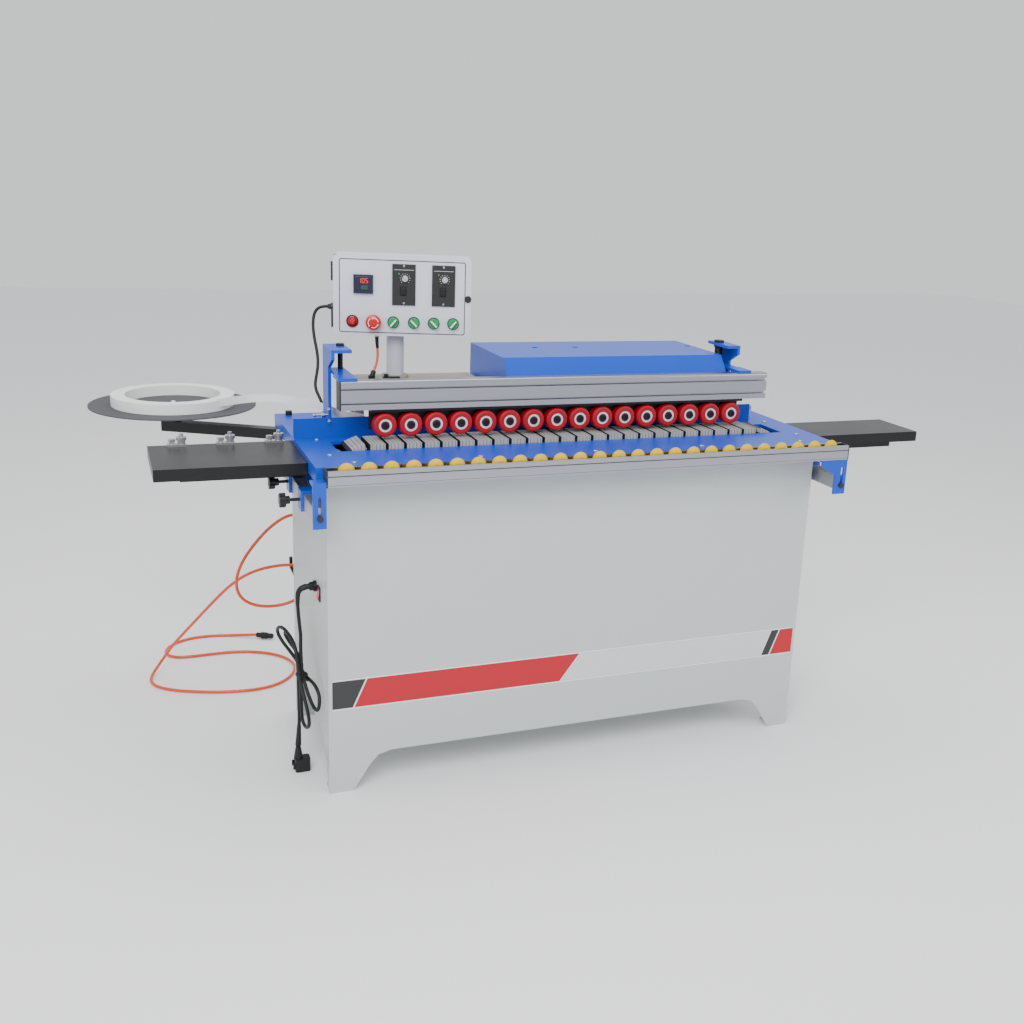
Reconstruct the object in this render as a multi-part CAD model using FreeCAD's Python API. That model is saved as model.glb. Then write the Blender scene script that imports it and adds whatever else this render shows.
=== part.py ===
import FreeCAD, Part
import math
import os

# Edge banding machine, in millimetres. x runs to the right along the workpiece's travel, y to
# the rear and z up, with the floor at z = 0. Sizes are measured from the cabinet's front left
# edge. save() moves each piece to the final origin, under the middle of the machine without
# its hose and cords.

V = FreeCAD.Vector

# ---- driving dimensions ----
cabinet_width = 1325.0
cabinet_depth = 495.0
table_height = 850.0
sheet = 3.0                      # cabinet and cover sheet
table_thickness = 8.0
skirt_height = 35.0
overhang_left = 33.0
overhang_right = 31.0
overhang_front = 51.5
table_rear = 423.0
wing_rear = 560.0                # the table is deeper behind the tape infeed
wing_width = 170.0
screw_shank = 3.0

foot_width = 60.0
foot_plate = 50.0
arch_height = 99.0
side_arch_height = 131.0
rear_opening_side = 190.0
rear_opening_bottom = 170.0
rear_opening_top = table_height - 60.0
switch_y = 105.0                 # power switch in the left side
switch_z = 493.0
switch_half_y = 11.0
switch_half_z = 14.0
gland_y = 150.0                  # mains gland in the left side
gland_z = 497.0
gland_bore = 8.0
hose_exit_x = 45.0               # air hose gland in the rear
hose_exit_z = 562.0
hose_peg_x = 12.0
hose_peg_z = 389.5

slot_left = 47.0                 # chain opening in the table
slot_right = 1276.0
slot_front = 95.0
slot_rear = 203.0

pad_pitch = 45.0
pad_length = 41.5                # along the travel
pad_width = 96.0
pad_thickness = 14.0
pads_straight = 24
sprocket_teeth = 8
pad_above_table = 12.0
link_to_pad = 6.0
sprocket_shaft_radius = 12.5
bearing_front = 60.0
bearing_rear = 216.0

roller_count = 16
roller_radius = 29.5
roller_width = 30.0
roller_pitch = 64.4
first_roller_x = 170.7
roller_height = table_height + 49.0
roller_front = 137.0
roller_bolt_radius = 6.0

beam_left = 62.0
beam_right = 1237.0
beam_front = 132.0
beam_depth = 40.0
beam_height = 70.0
beam_bottom = table_height + 90.0
beam_travel = 40.0
beam_plate = 7.0                 # bracket plates on the beam

rail_left = -14.5
rail_right = 1364.0
rail_front = -97.0
rail_depth = 37.0
rail_height = 38.0
rail_top = table_height + 2.0
rail_wall = 2.5
bead_count = 26
bead_radius = 19.5
bead_width = 21.0
bead_pitch = 51.6
first_bead_x = 30.2
bead_above_rail = 13.0
bead_axle_radius = 3.0

tube_width = 28.0                # pull-out support tubes
tube_height = 36.0
tube_bottom = table_height - 118.0
tube_gap = 19.0                  # cabinet side to tube
support_travel = 230.0
bracket_bottom = table_height - 130.0
bracket_sheet = 5.0
bolt_head = 5.0
saddle_places = [(33.0, 75.0), (200.0, 242.0)]
saddle_wall = 6.0
knob_screw_radius = 4.0

extension_drop = 12.0            # extension tables below the main table
extension_thickness = 28.0
left_extension_length = 339.0
left_extension_front = 45.5
left_extension_rear = 284.5
right_extension_length = 374.0
right_extension_front = 80.0
right_extension_rear = 255.0
edge_guide_x = [-306.0, -193.0, -77.0]

fence_front = 247.5
fence_height = 50.0
fence_right = 1262.0
fence_sheet = 4.0
stud_x = 1282.0                  # steel stud beyond the fence's right end
stud_y = 288.0

post_sheet = 8.0
left_plate_x = 54.0
right_plate_x = 1182.0
left_flange = 50.0
right_flange = 40.0
flange_front = 207.0
post_rear = 320.0
screw_y = 280.0
left_screw_x = 90.0
right_screw_x = 1163.0
left_screw_radius = 6.5
right_screw_radius = 11.0
collar_height = 5.0
collar_room = 3.7                # left over the brackets when the beam is fully up

deck_height = table_height + 114.0
deck_left = 155.0
deck_front = 300.0
hood_left = 500.0
hood_right = 1143.0
hood_front = 190.0
hood_rear = 505.0
hood_top = table_height + 197.0
hood_bottom = table_height + 105.0
hood_hole_x = [650.0, 770.0, 1125.0]
hood_hole_y = 395.0
hood_hinge_x = [590.0, 1030.0]
hood_hinge_radius = 5.0

control_post_x = 271.0
control_post_y = 447.0
control_post_radius = 23.0
box_width = 356.0
box_height = 204.0
box_depth = 130.0
door_depth = 18.0
box_turn = -14.7                 # the box is swivelled towards the operator
box_bottom = table_height + 231.0
panel_right = 274.0              # where the middle of the door's face stands
panel_front = 384.0
door_hinge_z = [60.0, -60.0]
door_hinge_radius = 3.0
dial_x = [3.0, 105.0]            # places on the door, from the middle of its face
dial_panel_z = 31.5
dial_z = 48.0
meter_x = -100.5
meter_z = 31.0
lamp_x = -128.5
stop_x = -74.5
selector_x = [-23.5, 29.5, 81.0, 131.5]
selector_turn = [40.0, -45.0, -45.0, 40.0]
button_row = -65.0
button_shank = 8.0
box_gland_y = 60.0
box_gland_z = -36.0

reel_x = -283.0
reel_y = 700.0
reel_radius = 218.0
reel_height = table_height + 8.0
reel_sheet = 3.0
reel_shaft_radius = 8.0
tape_width = 28.0
tape_roll_radius = 160.0
tape_roll_inner = 124.0
arm_height = 28.0
arm_width = 34.0
arm_top = table_height - 39.0
arm_pivot_x = 2.0
arm_pivot_y = 540.0
arm_bolt_radius = 6.0

mains_radius = 4.5
hose_radius = 4.5
signal_radius = 4.0
drop_radius = 3.5
drop_x = 216.0                   # where the short hose leaves the box
drop_y = 425.0

running_gap = 0.05               # shaft in its bore
clear = 0.5                      # between pieces that only pass
slide_gap = 0.4                  # support tube in its saddle

# ---- places worked out from the sizes ----
left_reach = reel_x - reel_radius
right_reach = cabinet_width + overhang_right + right_extension_length
front_reach = rail_front - bolt_head
rear_reach = reel_y + reel_radius
machine_x = (left_reach + right_reach) / 2
machine_y = (front_reach + rear_reach) / 2

table_left = -overhang_left
table_right = cabinet_width + overhang_right
table_under = table_height - table_thickness
cabinet_top = table_under - clear
sprocket_pitch_radius = sprocket_teeth * pad_pitch / (2 * math.pi)
chain_top = table_height + pad_above_table - pad_thickness - link_to_pad
sprocket_z = chain_top - sprocket_pitch_radius
slot_middle = (slot_front + slot_rear) / 2
chain_half = pads_straight * pad_pitch / 2
chain_middle = (slot_left + slot_right) / 2
drive_x = chain_middle + chain_half
idler_x = chain_middle - chain_half
roller_middle = roller_front + roller_width / 2
last_roller_x = first_roller_x + (roller_count - 1) * roller_pitch
bead_axis_z = rail_top + bead_above_rail - bead_radius
rail_middle = rail_front + rail_depth / 2
beam_top = beam_bottom + beam_height
post_top = beam_top + beam_plate + beam_travel + collar_room + collar_height + 0.3 + post_sheet
extension_top = table_height - extension_drop
left_tube_x = -tube_gap - tube_width
right_tube_x = cabinet_width + tube_gap - saddle_wall
tube_front = rail_front + bracket_sheet + 1.5
tube_length = saddle_places[1][1] - tube_front + support_travel + 7.5
knob_z = tube_bottom + tube_height / 2
hood_hinge_y = hood_rear + 6.0
hood_hinge_z = hood_bottom - 4.0
door_hinge_x = -box_width / 2 - door_hinge_radius
door_hinge_y = door_depth + 0.5


def box(x0, x1, y0, y1, z0, z1):
    return Part.makeBox(x1 - x0, y1 - y0, z1 - z0, V(x0, y0, z0))


def rod(axis, radius, start, length):
    return Part.makeCylinder(radius, length, V(*start), V(*axis))


def rod_x(radius, x, y, z, length):
    return rod((1, 0, 0), radius, (x, y, z), length)


def rod_y(radius, x, y, z, length):
    return rod((0, 1, 0), radius, (x, y, z), length)


def rod_z(radius, x, y, z, length):
    return rod((0, 0, 1), radius, (x, y, z), length)


def joined(first, *others):
    return first.fuse(list(others)).removeSplitter()


def slab(points, push):
    """A flat outline pushed along a vector."""
    corners = [V(*p) for p in points]
    return Part.Face(Part.makePolygon(corners + corners[:1])).extrude(V(*push))


def turned(profile, centre, axis):
    """A closed (radius, along) outline spun about an axis through centre."""
    corners = [V(r, 0, a) for r, a in profile]
    solid = Part.Face(Part.makePolygon(corners + corners[:1])).revolve(V(0, 0, 0), V(0, 0, 1), 360)
    turn = FreeCAD.Rotation(V(0, 0, 1), V(*axis))
    solid.Placement = FreeCAD.Placement(V(*centre), turn)
    return solid


def hex_head(across, height, x, y, z):
    reach = across / math.sqrt(3)
    ring = [(x + reach * math.cos(math.radians(a)), y + reach * math.sin(math.radians(a)), z)
            for a in range(0, 360, 60)]
    return slab(ring, (0, 0, height))


def save(name, *solids):
    shape = solids[0] if len(solids) == 1 else Part.makeCompound(list(solids))
    shape = shape.copy()
    shape.translate(V(-machine_x, -machine_y, 0))
    if not shape.isValid():
        print("not valid:", name)
    shape.exportStep("parts/" + name + ".step")
    print(name, len(shape.Solids), round(shape.Volume / 1000, 1))


# ---- cabinet ----
def front_arch(y0, y1):
    """The space cut out under the cabinet's front or rear sheet."""
    w = cabinet_width
    half = [(foot_width, 0), (foot_width + 42, 66), (foot_width + 63, 90), (foot_width + 96, arch_height)]
    outline = [(x, y0, z) for x, z in half] + [(w - x, y0, z) for x, z in reversed(half)]
    return slab(outline, (0, y1 - y0, 0))


def side_arch(x0, x1):
    d = cabinet_depth
    half = [(10, 0), (34, 63), (87, side_arch_height)]
    outline = [(x0, y, z) for y, z in half] + [(x0, d - y, z) for y, z in reversed(half)]
    return slab(outline, (x1 - x0, 0, 0))


def cabinet_shell():
    w, d = cabinet_width, cabinet_depth
    shell = box(0, w, 0, d, 0, cabinet_top)
    shell = shell.cut(box(sheet, w - sheet, sheet, d - sheet, -1, cabinet_top + 1))
    shell = shell.cut(front_arch(-1, sheet + 1)).cut(front_arch(d - sheet - 1, d + 1))
    shell = shell.cut(side_arch(-1, sheet + 1)).cut(side_arch(w - sheet - 1, w + 1))
    shell = shell.cut(box(rear_opening_side, w - rear_opening_side, d - sheet - 1, d + 1,
                          rear_opening_bottom, rear_opening_top))
    pads = [box(x, x + foot_plate, y, y + foot_plate, 0, 4)
            for x in (sheet, w - sheet - foot_plate) for y in (sheet, d - sheet - foot_plate)]
    floor = box(sheet, w - sheet, sheet, d - sheet, side_arch_height + 4, side_arch_height + 4 + sheet)
    top = box(0, w, table_rear - 20, d, cabinet_top - sheet, cabinet_top)
    shell = joined(shell, floor, top, *pads)
    shell = shell.cut(rod_x(gland_bore, -1, gland_y, gland_z, sheet + 2))
    shell = shell.cut(box(-1, sheet + 1, switch_y - switch_half_y, switch_y + switch_half_y,
                          switch_z - switch_half_z, switch_z + switch_half_z))
    return shell.cut(rod_y(gland_bore, hose_exit_x, d - sheet - 1, hose_exit_z, sheet + 2))


def rear_panel():
    lap = 15.0
    y0 = cabinet_depth + 0.2
    panel = box(rear_opening_side - lap, cabinet_width - rear_opening_side + lap, y0, y0 + 2,
                rear_opening_bottom - lap, rear_opening_top + lap)
    for row in range(6):                      # cooling slots
        z = rear_opening_bottom + 60 + 20 * row
        for x in (300.0, cabinet_width - 420.0):
            panel = panel.cut(box(x, x + 120, y0 - 1, y0 + 3, z, z + 6))
    return panel


# ---- table ----
def table_plate():
    top = box(table_left, table_right, -overhang_front, table_rear, table_under, table_height)
    wing = box(table_left, table_left + wing_width, table_rear - 1, wing_rear, table_under, table_height)
    z0 = table_height - skirt_height
    s = sheet
    skirts = [
        box(table_left, table_right, -overhang_front, -overhang_front + s, z0, table_height),
        box(table_right - s, table_right, -overhang_front, table_rear, z0, table_height),
        box(table_left, table_left + s, -overhang_front, wing_rear, z0, table_height),
        box(table_left, table_left + wing_width, wing_rear - s, wing_rear, z0, table_height),
    ]
    plate = joined(top, wing, *skirts)
    plate = plate.cut(box(slot_left, slot_right, slot_front, slot_rear, 0, table_height + 1))
    for x, y in screw_places():
        plate = plate.cut(rod_z(screw_shank + running_gap, x, y, z0, skirt_height + 1))
    return plate.cut(rod_z(arm_bolt_radius + running_gap, arm_pivot_x, arm_pivot_y, z0 - 1, skirt_height + 2))


def screw_places():
    front = [(x, -18.0) for x in (60.0, 365.0, 665.0, 965.0, 1265.0)]
    middle = [(20.0, 62.0), (cabinet_width - 20.0, 62.0), (20.0, 228.0), (cabinet_width - 20.0, 228.0)]
    return front + middle


def table_screws():
    screws = []
    for x, y in screw_places():
        head = turned([(0, 0), (6.5, 0), (6.5, 1.6), (4.5, 3.2), (0, 3.2)], (x, y, table_height), (0, 0, 1))
        shank = rod_z(screw_shank, x, y, table_under, table_thickness)
        socket = rod_z(2.4, x, y, table_height + 1.2, 3)
        screws.append(joined(head, shank).cut(socket))
    stud = turned([(0, 0), (7, 0), (7, 10), (5, 10), (5, 24), (10, 26), (10, 36), (8, 38), (0, 38)],
                  (stud_x, stud_y, table_height), (0, 0, 1))
    return screws + [stud]


def extension_tables():
    z0 = extension_top - extension_thickness
    left = box(table_left - clear - left_extension_length, table_left - clear,
               left_extension_front, left_extension_rear, z0, extension_top)
    right = box(table_right + clear, table_right + right_extension_length,
                right_extension_front, right_extension_rear, z0, extension_top)
    arms = []
    for x0, x1 in ((table_left - left_extension_length + 60, -clear),
                   (cabinet_width + clear, table_right + right_extension_length - 60)):
        for y in (left_extension_front + 75, right_extension_rear - 45):
            arm = box(x0, x1, y, y + 20, z0 - 22 - clear / 2, z0 - clear / 2)
            arms.append(arm)
    return [left, right] + arms


def guide_places():
    return [(x, left_extension_rear - 14) for x in edge_guide_x]


def edge_guides():
    """Steel guide posts along the left extension: a bolt and a bearing on each foot."""
    pieces = []
    for x, y in guide_places():
        foot = box(x - 22, x + 22, y - 11, y + 11, extension_top, extension_top + 6)
        bolt = joined(rod_z(6, x - 11, y, extension_top + 5, 12), hex_head(15, 7, x - 11, y, extension_top + 11))
        post = joined(rod_z(9, x + 11, y, extension_top + 5, 15), rod_z(12, x + 11, y, extension_top + 15, 8),
                      rod_z(5, x + 11, y, extension_top + 22, 9))
        pieces.append(joined(foot, bolt, post))
    return pieces


def fence():
    y0, s = fence_front, fence_sheet
    front = box(table_left, fence_right, y0, y0 + s, table_height, table_height + fence_height)
    lip = box(table_left, fence_right, y0, y0 + 26, table_height, table_height + s)
    for x in (left_plate_x, right_plate_x):
        lip = lip.cut(box(x - 2, x + post_sheet + 2, y0 + s, y0 + 40, 0, table_height + post_sheet))
    return joined(front, lip)


# ---- conveyor ----
def link_solid():
    """One chain pad with its link, lying level with the chain line at z = 0."""
    pad = box(-pad_length / 2, pad_length / 2, -pad_width / 2, pad_width / 2,
              link_to_pad, link_to_pad + pad_thickness)
    ribs = [box(-pad_length / 2 - 1, pad_length / 2 + 1, y - 1.2, y + 1.2,
                link_to_pad + pad_thickness - 1.5, link_to_pad + pad_thickness + 1)
            for y in (-30.0, -10.0, 10.0, 30.0)]
    pad = pad.cut(Part.makeCompound(ribs))
    link = box(-pad_length / 2 + 1, pad_length / 2 - 1, -9, 9, -5, link_to_pad + 1)
    return joined(pad, link)


def conveyor_pads():
    pads = []
    half_turn = sprocket_teeth // 2
    for i in range(pads_straight):
        x = idler_x + pad_pitch * (i + 0.5)
        for z, flip in ((chain_top, 0), (sprocket_z - sprocket_pitch_radius, 180)):
            pads.append((x, z, flip))
    for i in range(half_turn):
        angle = 180.0 * (i + 0.5) / half_turn
        a = math.radians(angle)
        r = sprocket_pitch_radius
        pads.append((drive_x + r * math.sin(a), sprocket_z + r * math.cos(a), angle))
        pads.append((idler_x - r * math.sin(a), sprocket_z + r * math.cos(a), -angle))
    solids = []
    for x, z, angle in pads:
        pad = link_solid()
        pad.rotate(V(0, 0, 0), V(0, 1, 0), angle)
        pad.translate(V(x, slot_middle, z))
        solids.append(pad)
    return solids


def sprocket(x, shaft_front, shaft_rear):
    outer = sprocket_pitch_radius + link_to_pad - 2.5
    body = []
    for y in (slot_middle - 18, slot_middle + 12):
        wheel = rod_y(sprocket_pitch_radius - 6, x, y, sprocket_z, 6)
        teeth = []
        for i in range(sprocket_teeth):
            a = 2 * math.pi * i / sprocket_teeth
            tooth = slab([(-8, 0, 30), (8, 0, 30), (3.5, 0, outer), (-3.5, 0, outer)], (0, 6, 0))
            tooth.rotate(V(0, 0, 0), V(0, 1, 0), math.degrees(a))
            tooth.translate(V(x, y, sprocket_z))
            teeth.append(tooth)
        body.append(joined(wheel, *teeth))
    shaft = rod_y(sprocket_shaft_radius, x, shaft_front, sprocket_z, shaft_rear - shaft_front)
    hub = rod_y(22, x, slot_middle - 20, sprocket_z, 40)
    return joined(shaft, hub, *body)


def bearing_block(x, y):
    block = box(x - 30, x + 30, y, y + 22, sprocket_z - 32, table_under - clear)
    bore = rod_y(sprocket_shaft_radius + running_gap, x, y - 1, sprocket_z, 24)
    return block.cut(bore)


def inner_units():
    """Bearing blocks, chain guide, gear motor, glue pot and the two trimming motors."""
    blocks = [bearing_block(x, y) for x in (drive_x, idler_x) for y in (bearing_front, bearing_rear)]
    guide = box(idler_x + 70, drive_x - 70, slot_middle - 8, slot_middle + 8,
                chain_top - 5 - clear - 14, chain_top - 5 - clear)
    hangers = [box(x - 6, x + 6, slot_middle - 8, bearing_rear + 10, chain_top - 34, chain_top - 5 - clear - 12)
               for x in (300.0, 660.0, 1020.0)]
    hanger_tops = [box(x - 6, x + 6, bearing_rear, bearing_rear + 10, chain_top - 34, table_under - clear)
                   for x in (300.0, 660.0, 1020.0)]
    guide = joined(guide, *(hangers + hanger_tops))
    gear_y = bearing_rear + 30
    gear = box(drive_x - 55, drive_x + 55, gear_y, gear_y + 60, sprocket_z - 50, sprocket_z + 48)
    motor = rod_x(45, drive_x - 265, gear_y + 40, sprocket_z - 5, 215)
    gear = joined(gear, motor).cut(rod_y(sprocket_shaft_radius + running_gap, drive_x, gear_y - 1, sprocket_z, 42))
    pot = box(215, 330, 305, 395, table_height + clear, table_height + 85)
    pot = pot.cut(box(225, 320, 315, 385, table_height + 50, table_height + 90))
    spindle = joined(rod_z(11, 352, 300, table_height + clear, 60), rod_z(20, 352, 300, table_height + 12, 34))
    units = [pot, spindle]
    for x in (600.0, 900.0):
        can = rod_z(37, x, 330, table_height + 30, 66)
        foot = box(x - 30, x + 30, 300, 400, table_height + clear, table_height + 32)
        units.append(joined(can, foot))
    return blocks + [guide, gear] + units


# ---- pressure beam ----
def pressure_beam():
    y0, y1 = beam_front, beam_front + beam_depth
    beam = box(beam_left, beam_right, y0, y1, beam_bottom, beam_top)
    top_edges = [e for e in beam.Edges
                 if abs(e.BoundBox.ZMin - beam_top) < 0.01 and e.BoundBox.XLength > beam_height]
    beam = beam.makeFillet(6, top_edges)
    for z in (beam_bottom + 17.5, beam_top - 17.5):
        for face, side in ((y0, 1), (y1, -1)):
            lip = sorted((face, face + side * 2.5))
            pocket = sorted((face + side * 2.4, face + side * 9))
            beam = beam.cut(box(beam_left - 1, beam_right + 1, lip[0] - (side > 0), lip[1] + (side < 0),
                                z - 4, z + 4))
            beam = beam.cut(box(beam_left - 1, beam_right + 1, pocket[0], pocket[1], z - 8, z + 8))
    middle = (y0 + y1) / 2
    beam = beam.cut(box(beam_left - 1, beam_right + 1, y0 + 6, y1 - 6, beam_bottom + 30, beam_top - 30))
    for z in (beam_bottom + 17.5, beam_top - 17.5):
        beam = beam.cut(rod_x(3.4, beam_left - 1, middle, z, beam_right - beam_left + 2))
    return beam


def beam_end_cap():
    x1 = beam_left
    cap = box(x1 - 4, x1, beam_front, beam_front + beam_depth, beam_bottom, beam_top)
    edges = [e for e in cap.Edges
             if abs(e.BoundBox.ZMin - beam_top) < 0.01 and e.BoundBox.XLength > 3 and e.BoundBox.YLength < 1]
    return cap.makeFillet(6, edges)


def roller_places():
    return [first_roller_x + i * roller_pitch for i in range(roller_count)]


def roller_bar():
    """Angle bar under the beam, with the rollers' shoulder bolts."""
    x0 = first_roller_x - 34
    x1 = last_roller_x + 34
    rear = roller_front + roller_width + 2
    top = box(x0, x1, roller_front + 4, rear + 5, beam_bottom - 8, beam_bottom)
    web = box(x0, x1, rear, rear + 5, roller_height - 14, beam_bottom)
    bar = joined(top, web)
    bolts = []
    for x in roller_places():
        bar = bar.cut(rod_y(roller_bolt_radius, x, rear - 1, roller_height, 8))
        shank = rod_y(roller_bolt_radius, x, roller_front + 1, roller_height, roller_width + 9)
        head = rod_y(8.5, x, roller_front - 4.5, roller_height, 5.5)
        nut = rod_y(9, x, rear + 5.2, roller_height, 6)
        socket = rod_y(3.4, x, roller_front - 6, roller_height, 4)
        bolts.append(joined(shank, head, nut).cut(socket))
    return [bar] + bolts


def presser_roller(x):
    w, r = roller_width, roller_radius
    bore = roller_bolt_radius + running_gap
    outline = [(bore, 1.5), (15, 1.5), (16.5, 0.5), (r - 5, 0.5), (r - 1.5, 2), (r, 5.5), (r, w - 5.5),
               (r - 1.5, w - 2), (r - 5, w - 0.5), (16.5, w - 0.5), (15, w - 1.5), (bore, w - 1.5)]
    return turned(outline, (x, roller_front, roller_height), (0, 1, 0))


def beam_posts():
    """Left and right posts: an upright plate with a flange that holds the lead screw."""
    y0 = fence_front + fence_sheet + clear
    posts = []
    for x, side, reach, screw_x, radius in (
            (left_plate_x, 1, left_flange, left_screw_x, left_screw_radius),
            (right_plate_x + post_sheet, -1, right_flange, right_screw_x, right_screw_radius)):
        xs = sorted((x, x + side * post_sheet))
        web = slab([(xs[0], y0, table_height), (xs[0], post_rear, table_height), (xs[0], post_rear, post_top),
                    (xs[0], flange_front, post_top), (xs[0], flange_front, post_top - 24),
                    (xs[0], y0, post_top - 48)], (post_sheet, 0, 0))
        fx = sorted((x, x + side * reach))
        flange = box(fx[0], fx[1], flange_front, post_rear, post_top - post_sheet, post_top)
        foot = box(fx[0], fx[1], y0 + 28, post_rear + 24, table_height, table_height + post_sheet)
        post = joined(web, flange, foot)
        posts.append(post.cut(rod_z(radius + running_gap, screw_x, screw_y, post_top - post_sheet - 1,
                                    post_sheet + 2)))
    return posts


def lead_screw(x, radius):
    """Screw with a collar under the flange and a hexagon head over it."""
    low = beam_bottom - 5
    shank = rod_z(radius, x, screw_y, low, post_top - low + 1.5)
    collar = rod_z(radius + 3, x, screw_y, post_top - post_sheet - 0.3 - collar_height, collar_height)
    head = hex_head(2 * radius + 5, 6, x, screw_y, post_top + 0.3)
    return joined(shank, collar, head)


def beam_brackets():
    """Plates on the beam that carry the lead nuts. Their rear part clears the hood and posts."""
    plates = []
    y0, step, y1 = beam_front + 4, flange_front - 6, screw_y + 22
    for plate_x, side, screw_x, radius, wide in (
            (left_plate_x + post_sheet, 1, left_screw_x, left_screw_radius, 40.0),
            (right_plate_x, -1, right_screw_x, right_screw_radius, right_plate_x - hood_right - 6)):
        outer = plate_x + side * 1.5
        inner = plate_x + side * wide
        front_outer = plate_x - side * 6
        plate = slab([(front_outer, y0, beam_top), (inner, y0, beam_top), (inner, y1, beam_top),
                      (outer, y1, beam_top), (outer, step, beam_top), (front_outer, step, beam_top)],
                     (0, 0, beam_plate))
        xs = sorted((outer, inner))
        hang = box(xs[0], xs[1], beam_front + beam_depth + 0.2, beam_front + beam_depth + 8,
                   beam_bottom + 20, beam_top + 1)
        nut = rod_z(radius + 6, screw_x, screw_y, beam_top - 14, 14 + beam_plate)
        plate = joined(plate, hang, nut)
        plates.append(plate.cut(rod_z(radius + running_gap, screw_x, screw_y, beam_top - 20, 50)))
    return plates


# ---- rear deck and hood ----
def rear_deck():
    """Deck on four legs, the box beam behind the hood, and the fixed half of the hood's hinges."""
    right = hood_left - 8
    deck = box(deck_left, right, deck_front, cabinet_depth + 5, deck_height - 6, deck_height)
    legs = [box(x, x + 24, y, y + 24, cabinet_top, deck_height - 5)
            for x in (deck_left + 4, right - 28) for y in (table_rear + 7, cabinet_depth - 24)]
    y0, y1 = table_rear + 4, cabinet_depth - 10
    beam = box(hood_left + 6, hood_right + 20, y0, y1, cabinet_top, hood_bottom - clear)
    beam = beam.cut(box(hood_left + 5, hood_right + 21, y0 + 4, y1 - 4, cabinet_top + 4, hood_bottom - 5))
    hinges = []
    for x in hood_hinge_x:
        r = hood_hinge_radius
        strap = box(x, x + 28, y1 - 1, hood_hinge_y, hood_hinge_z - r, hood_hinge_z - 1)
        barrel = rod_x(r, x, hood_hinge_y, hood_hinge_z, 28)
        pin = rod_x(2.5, x, hood_hinge_y, hood_hinge_z, 57)
        hinges += [strap, barrel, pin]
    return [joined(deck, *legs), joined(beam, *hinges)]


def hood():
    s = 2.5
    outer = [(hood_front, hood_bottom), (hood_front, hood_top - 47.0), (hood_front + 39, hood_top),
             (hood_rear, hood_top), (hood_rear, hood_bottom)]
    inner = [(hood_front + s, hood_bottom - 1), (hood_front + s, hood_top - 46.0 - s * 0.6),
             (hood_front + 39 + s * 0.5, hood_top - s), (hood_rear - s, hood_top - s),
             (hood_rear - s, hood_bottom - 1)]
    shell = slab([(hood_left, y, z) for y, z in outer], (hood_right - hood_left, 0, 0))
    shell = shell.cut(slab([(hood_left + s, y, z) for y, z in inner], (hood_right - hood_left - 2 * s, 0, 0)))
    for x in hood_hole_x:
        shell = shell.cut(rod_z(9, x, hood_hole_y, hood_top - 10, 20))
    leaves = []
    for x in hood_hinge_x:                    # moving half of the hinges
        leaf = box(x + 29, x + 57, hood_rear, hood_rear + s, hood_hinge_z + 1, hood_hinge_z + 28)
        barrel = rod_x(hood_hinge_radius, x + 29, hood_hinge_y, hood_hinge_z, 28)
        leaves += [leaf, barrel]
    shell = joined(shell, *leaves)
    for x in hood_hinge_x:
        shell = shell.cut(rod_x(2.5 + running_gap, x + 20, hood_hinge_y, hood_hinge_z, 45))
    return shell


# ---- control box ----
def box_frame():
    """Middle of the door's face, and the placement that swivels the box."""
    return FreeCAD.Placement(V(panel_right, panel_front, box_bottom + box_height / 2),
                             FreeCAD.Rotation(V(0, 0, 1), box_turn))


def on_box(shape):
    shape = shape.copy()
    shape.Placement = box_frame().multiply(shape.Placement)
    return shape


def control_box():
    w, h, s = box_width / 2, box_height / 2, 2.5
    case = box(-w, w, door_depth + 1, box_depth, -h, h)
    upright = [e for e in case.Edges if e.BoundBox.YLength > box_depth / 2]
    case = case.makeFillet(7, upright)
    case = case.cut(box(-w + s, w - s, door_depth, box_depth - s, -h + s, h - s))
    for z in door_hinge_z:                      # case half of the door's hinges, with the pin
        leaf = box(-w - 2, -w + 1, door_hinge_y, 28, z - 24, z + 24)
        barrel = rod_z(door_hinge_radius, door_hinge_x, door_hinge_y, z - 24, 48)
        case = joined(case, leaf, barrel)
        case = case.cut(box(-w - 8, -w, 10, 29, z - 10.5, z + 10.5))
        case = joined(case, rod_z(1.2, door_hinge_x, door_hinge_y, z - 12, 24))
    case = on_box(case)
    bush = rod_z(drop_radius + 3, drop_x, drop_y, box_bottom - 5, 6)
    post_bottom = deck_height + 8 + clear / 2
    post = rod_z(control_post_radius, control_post_x, control_post_y, post_bottom, box_bottom + s - post_bottom)
    return joined(case, post, bush)


def post_socket():
    return rod_z(control_post_radius + 12, control_post_x, control_post_y, deck_height, 8)


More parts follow.
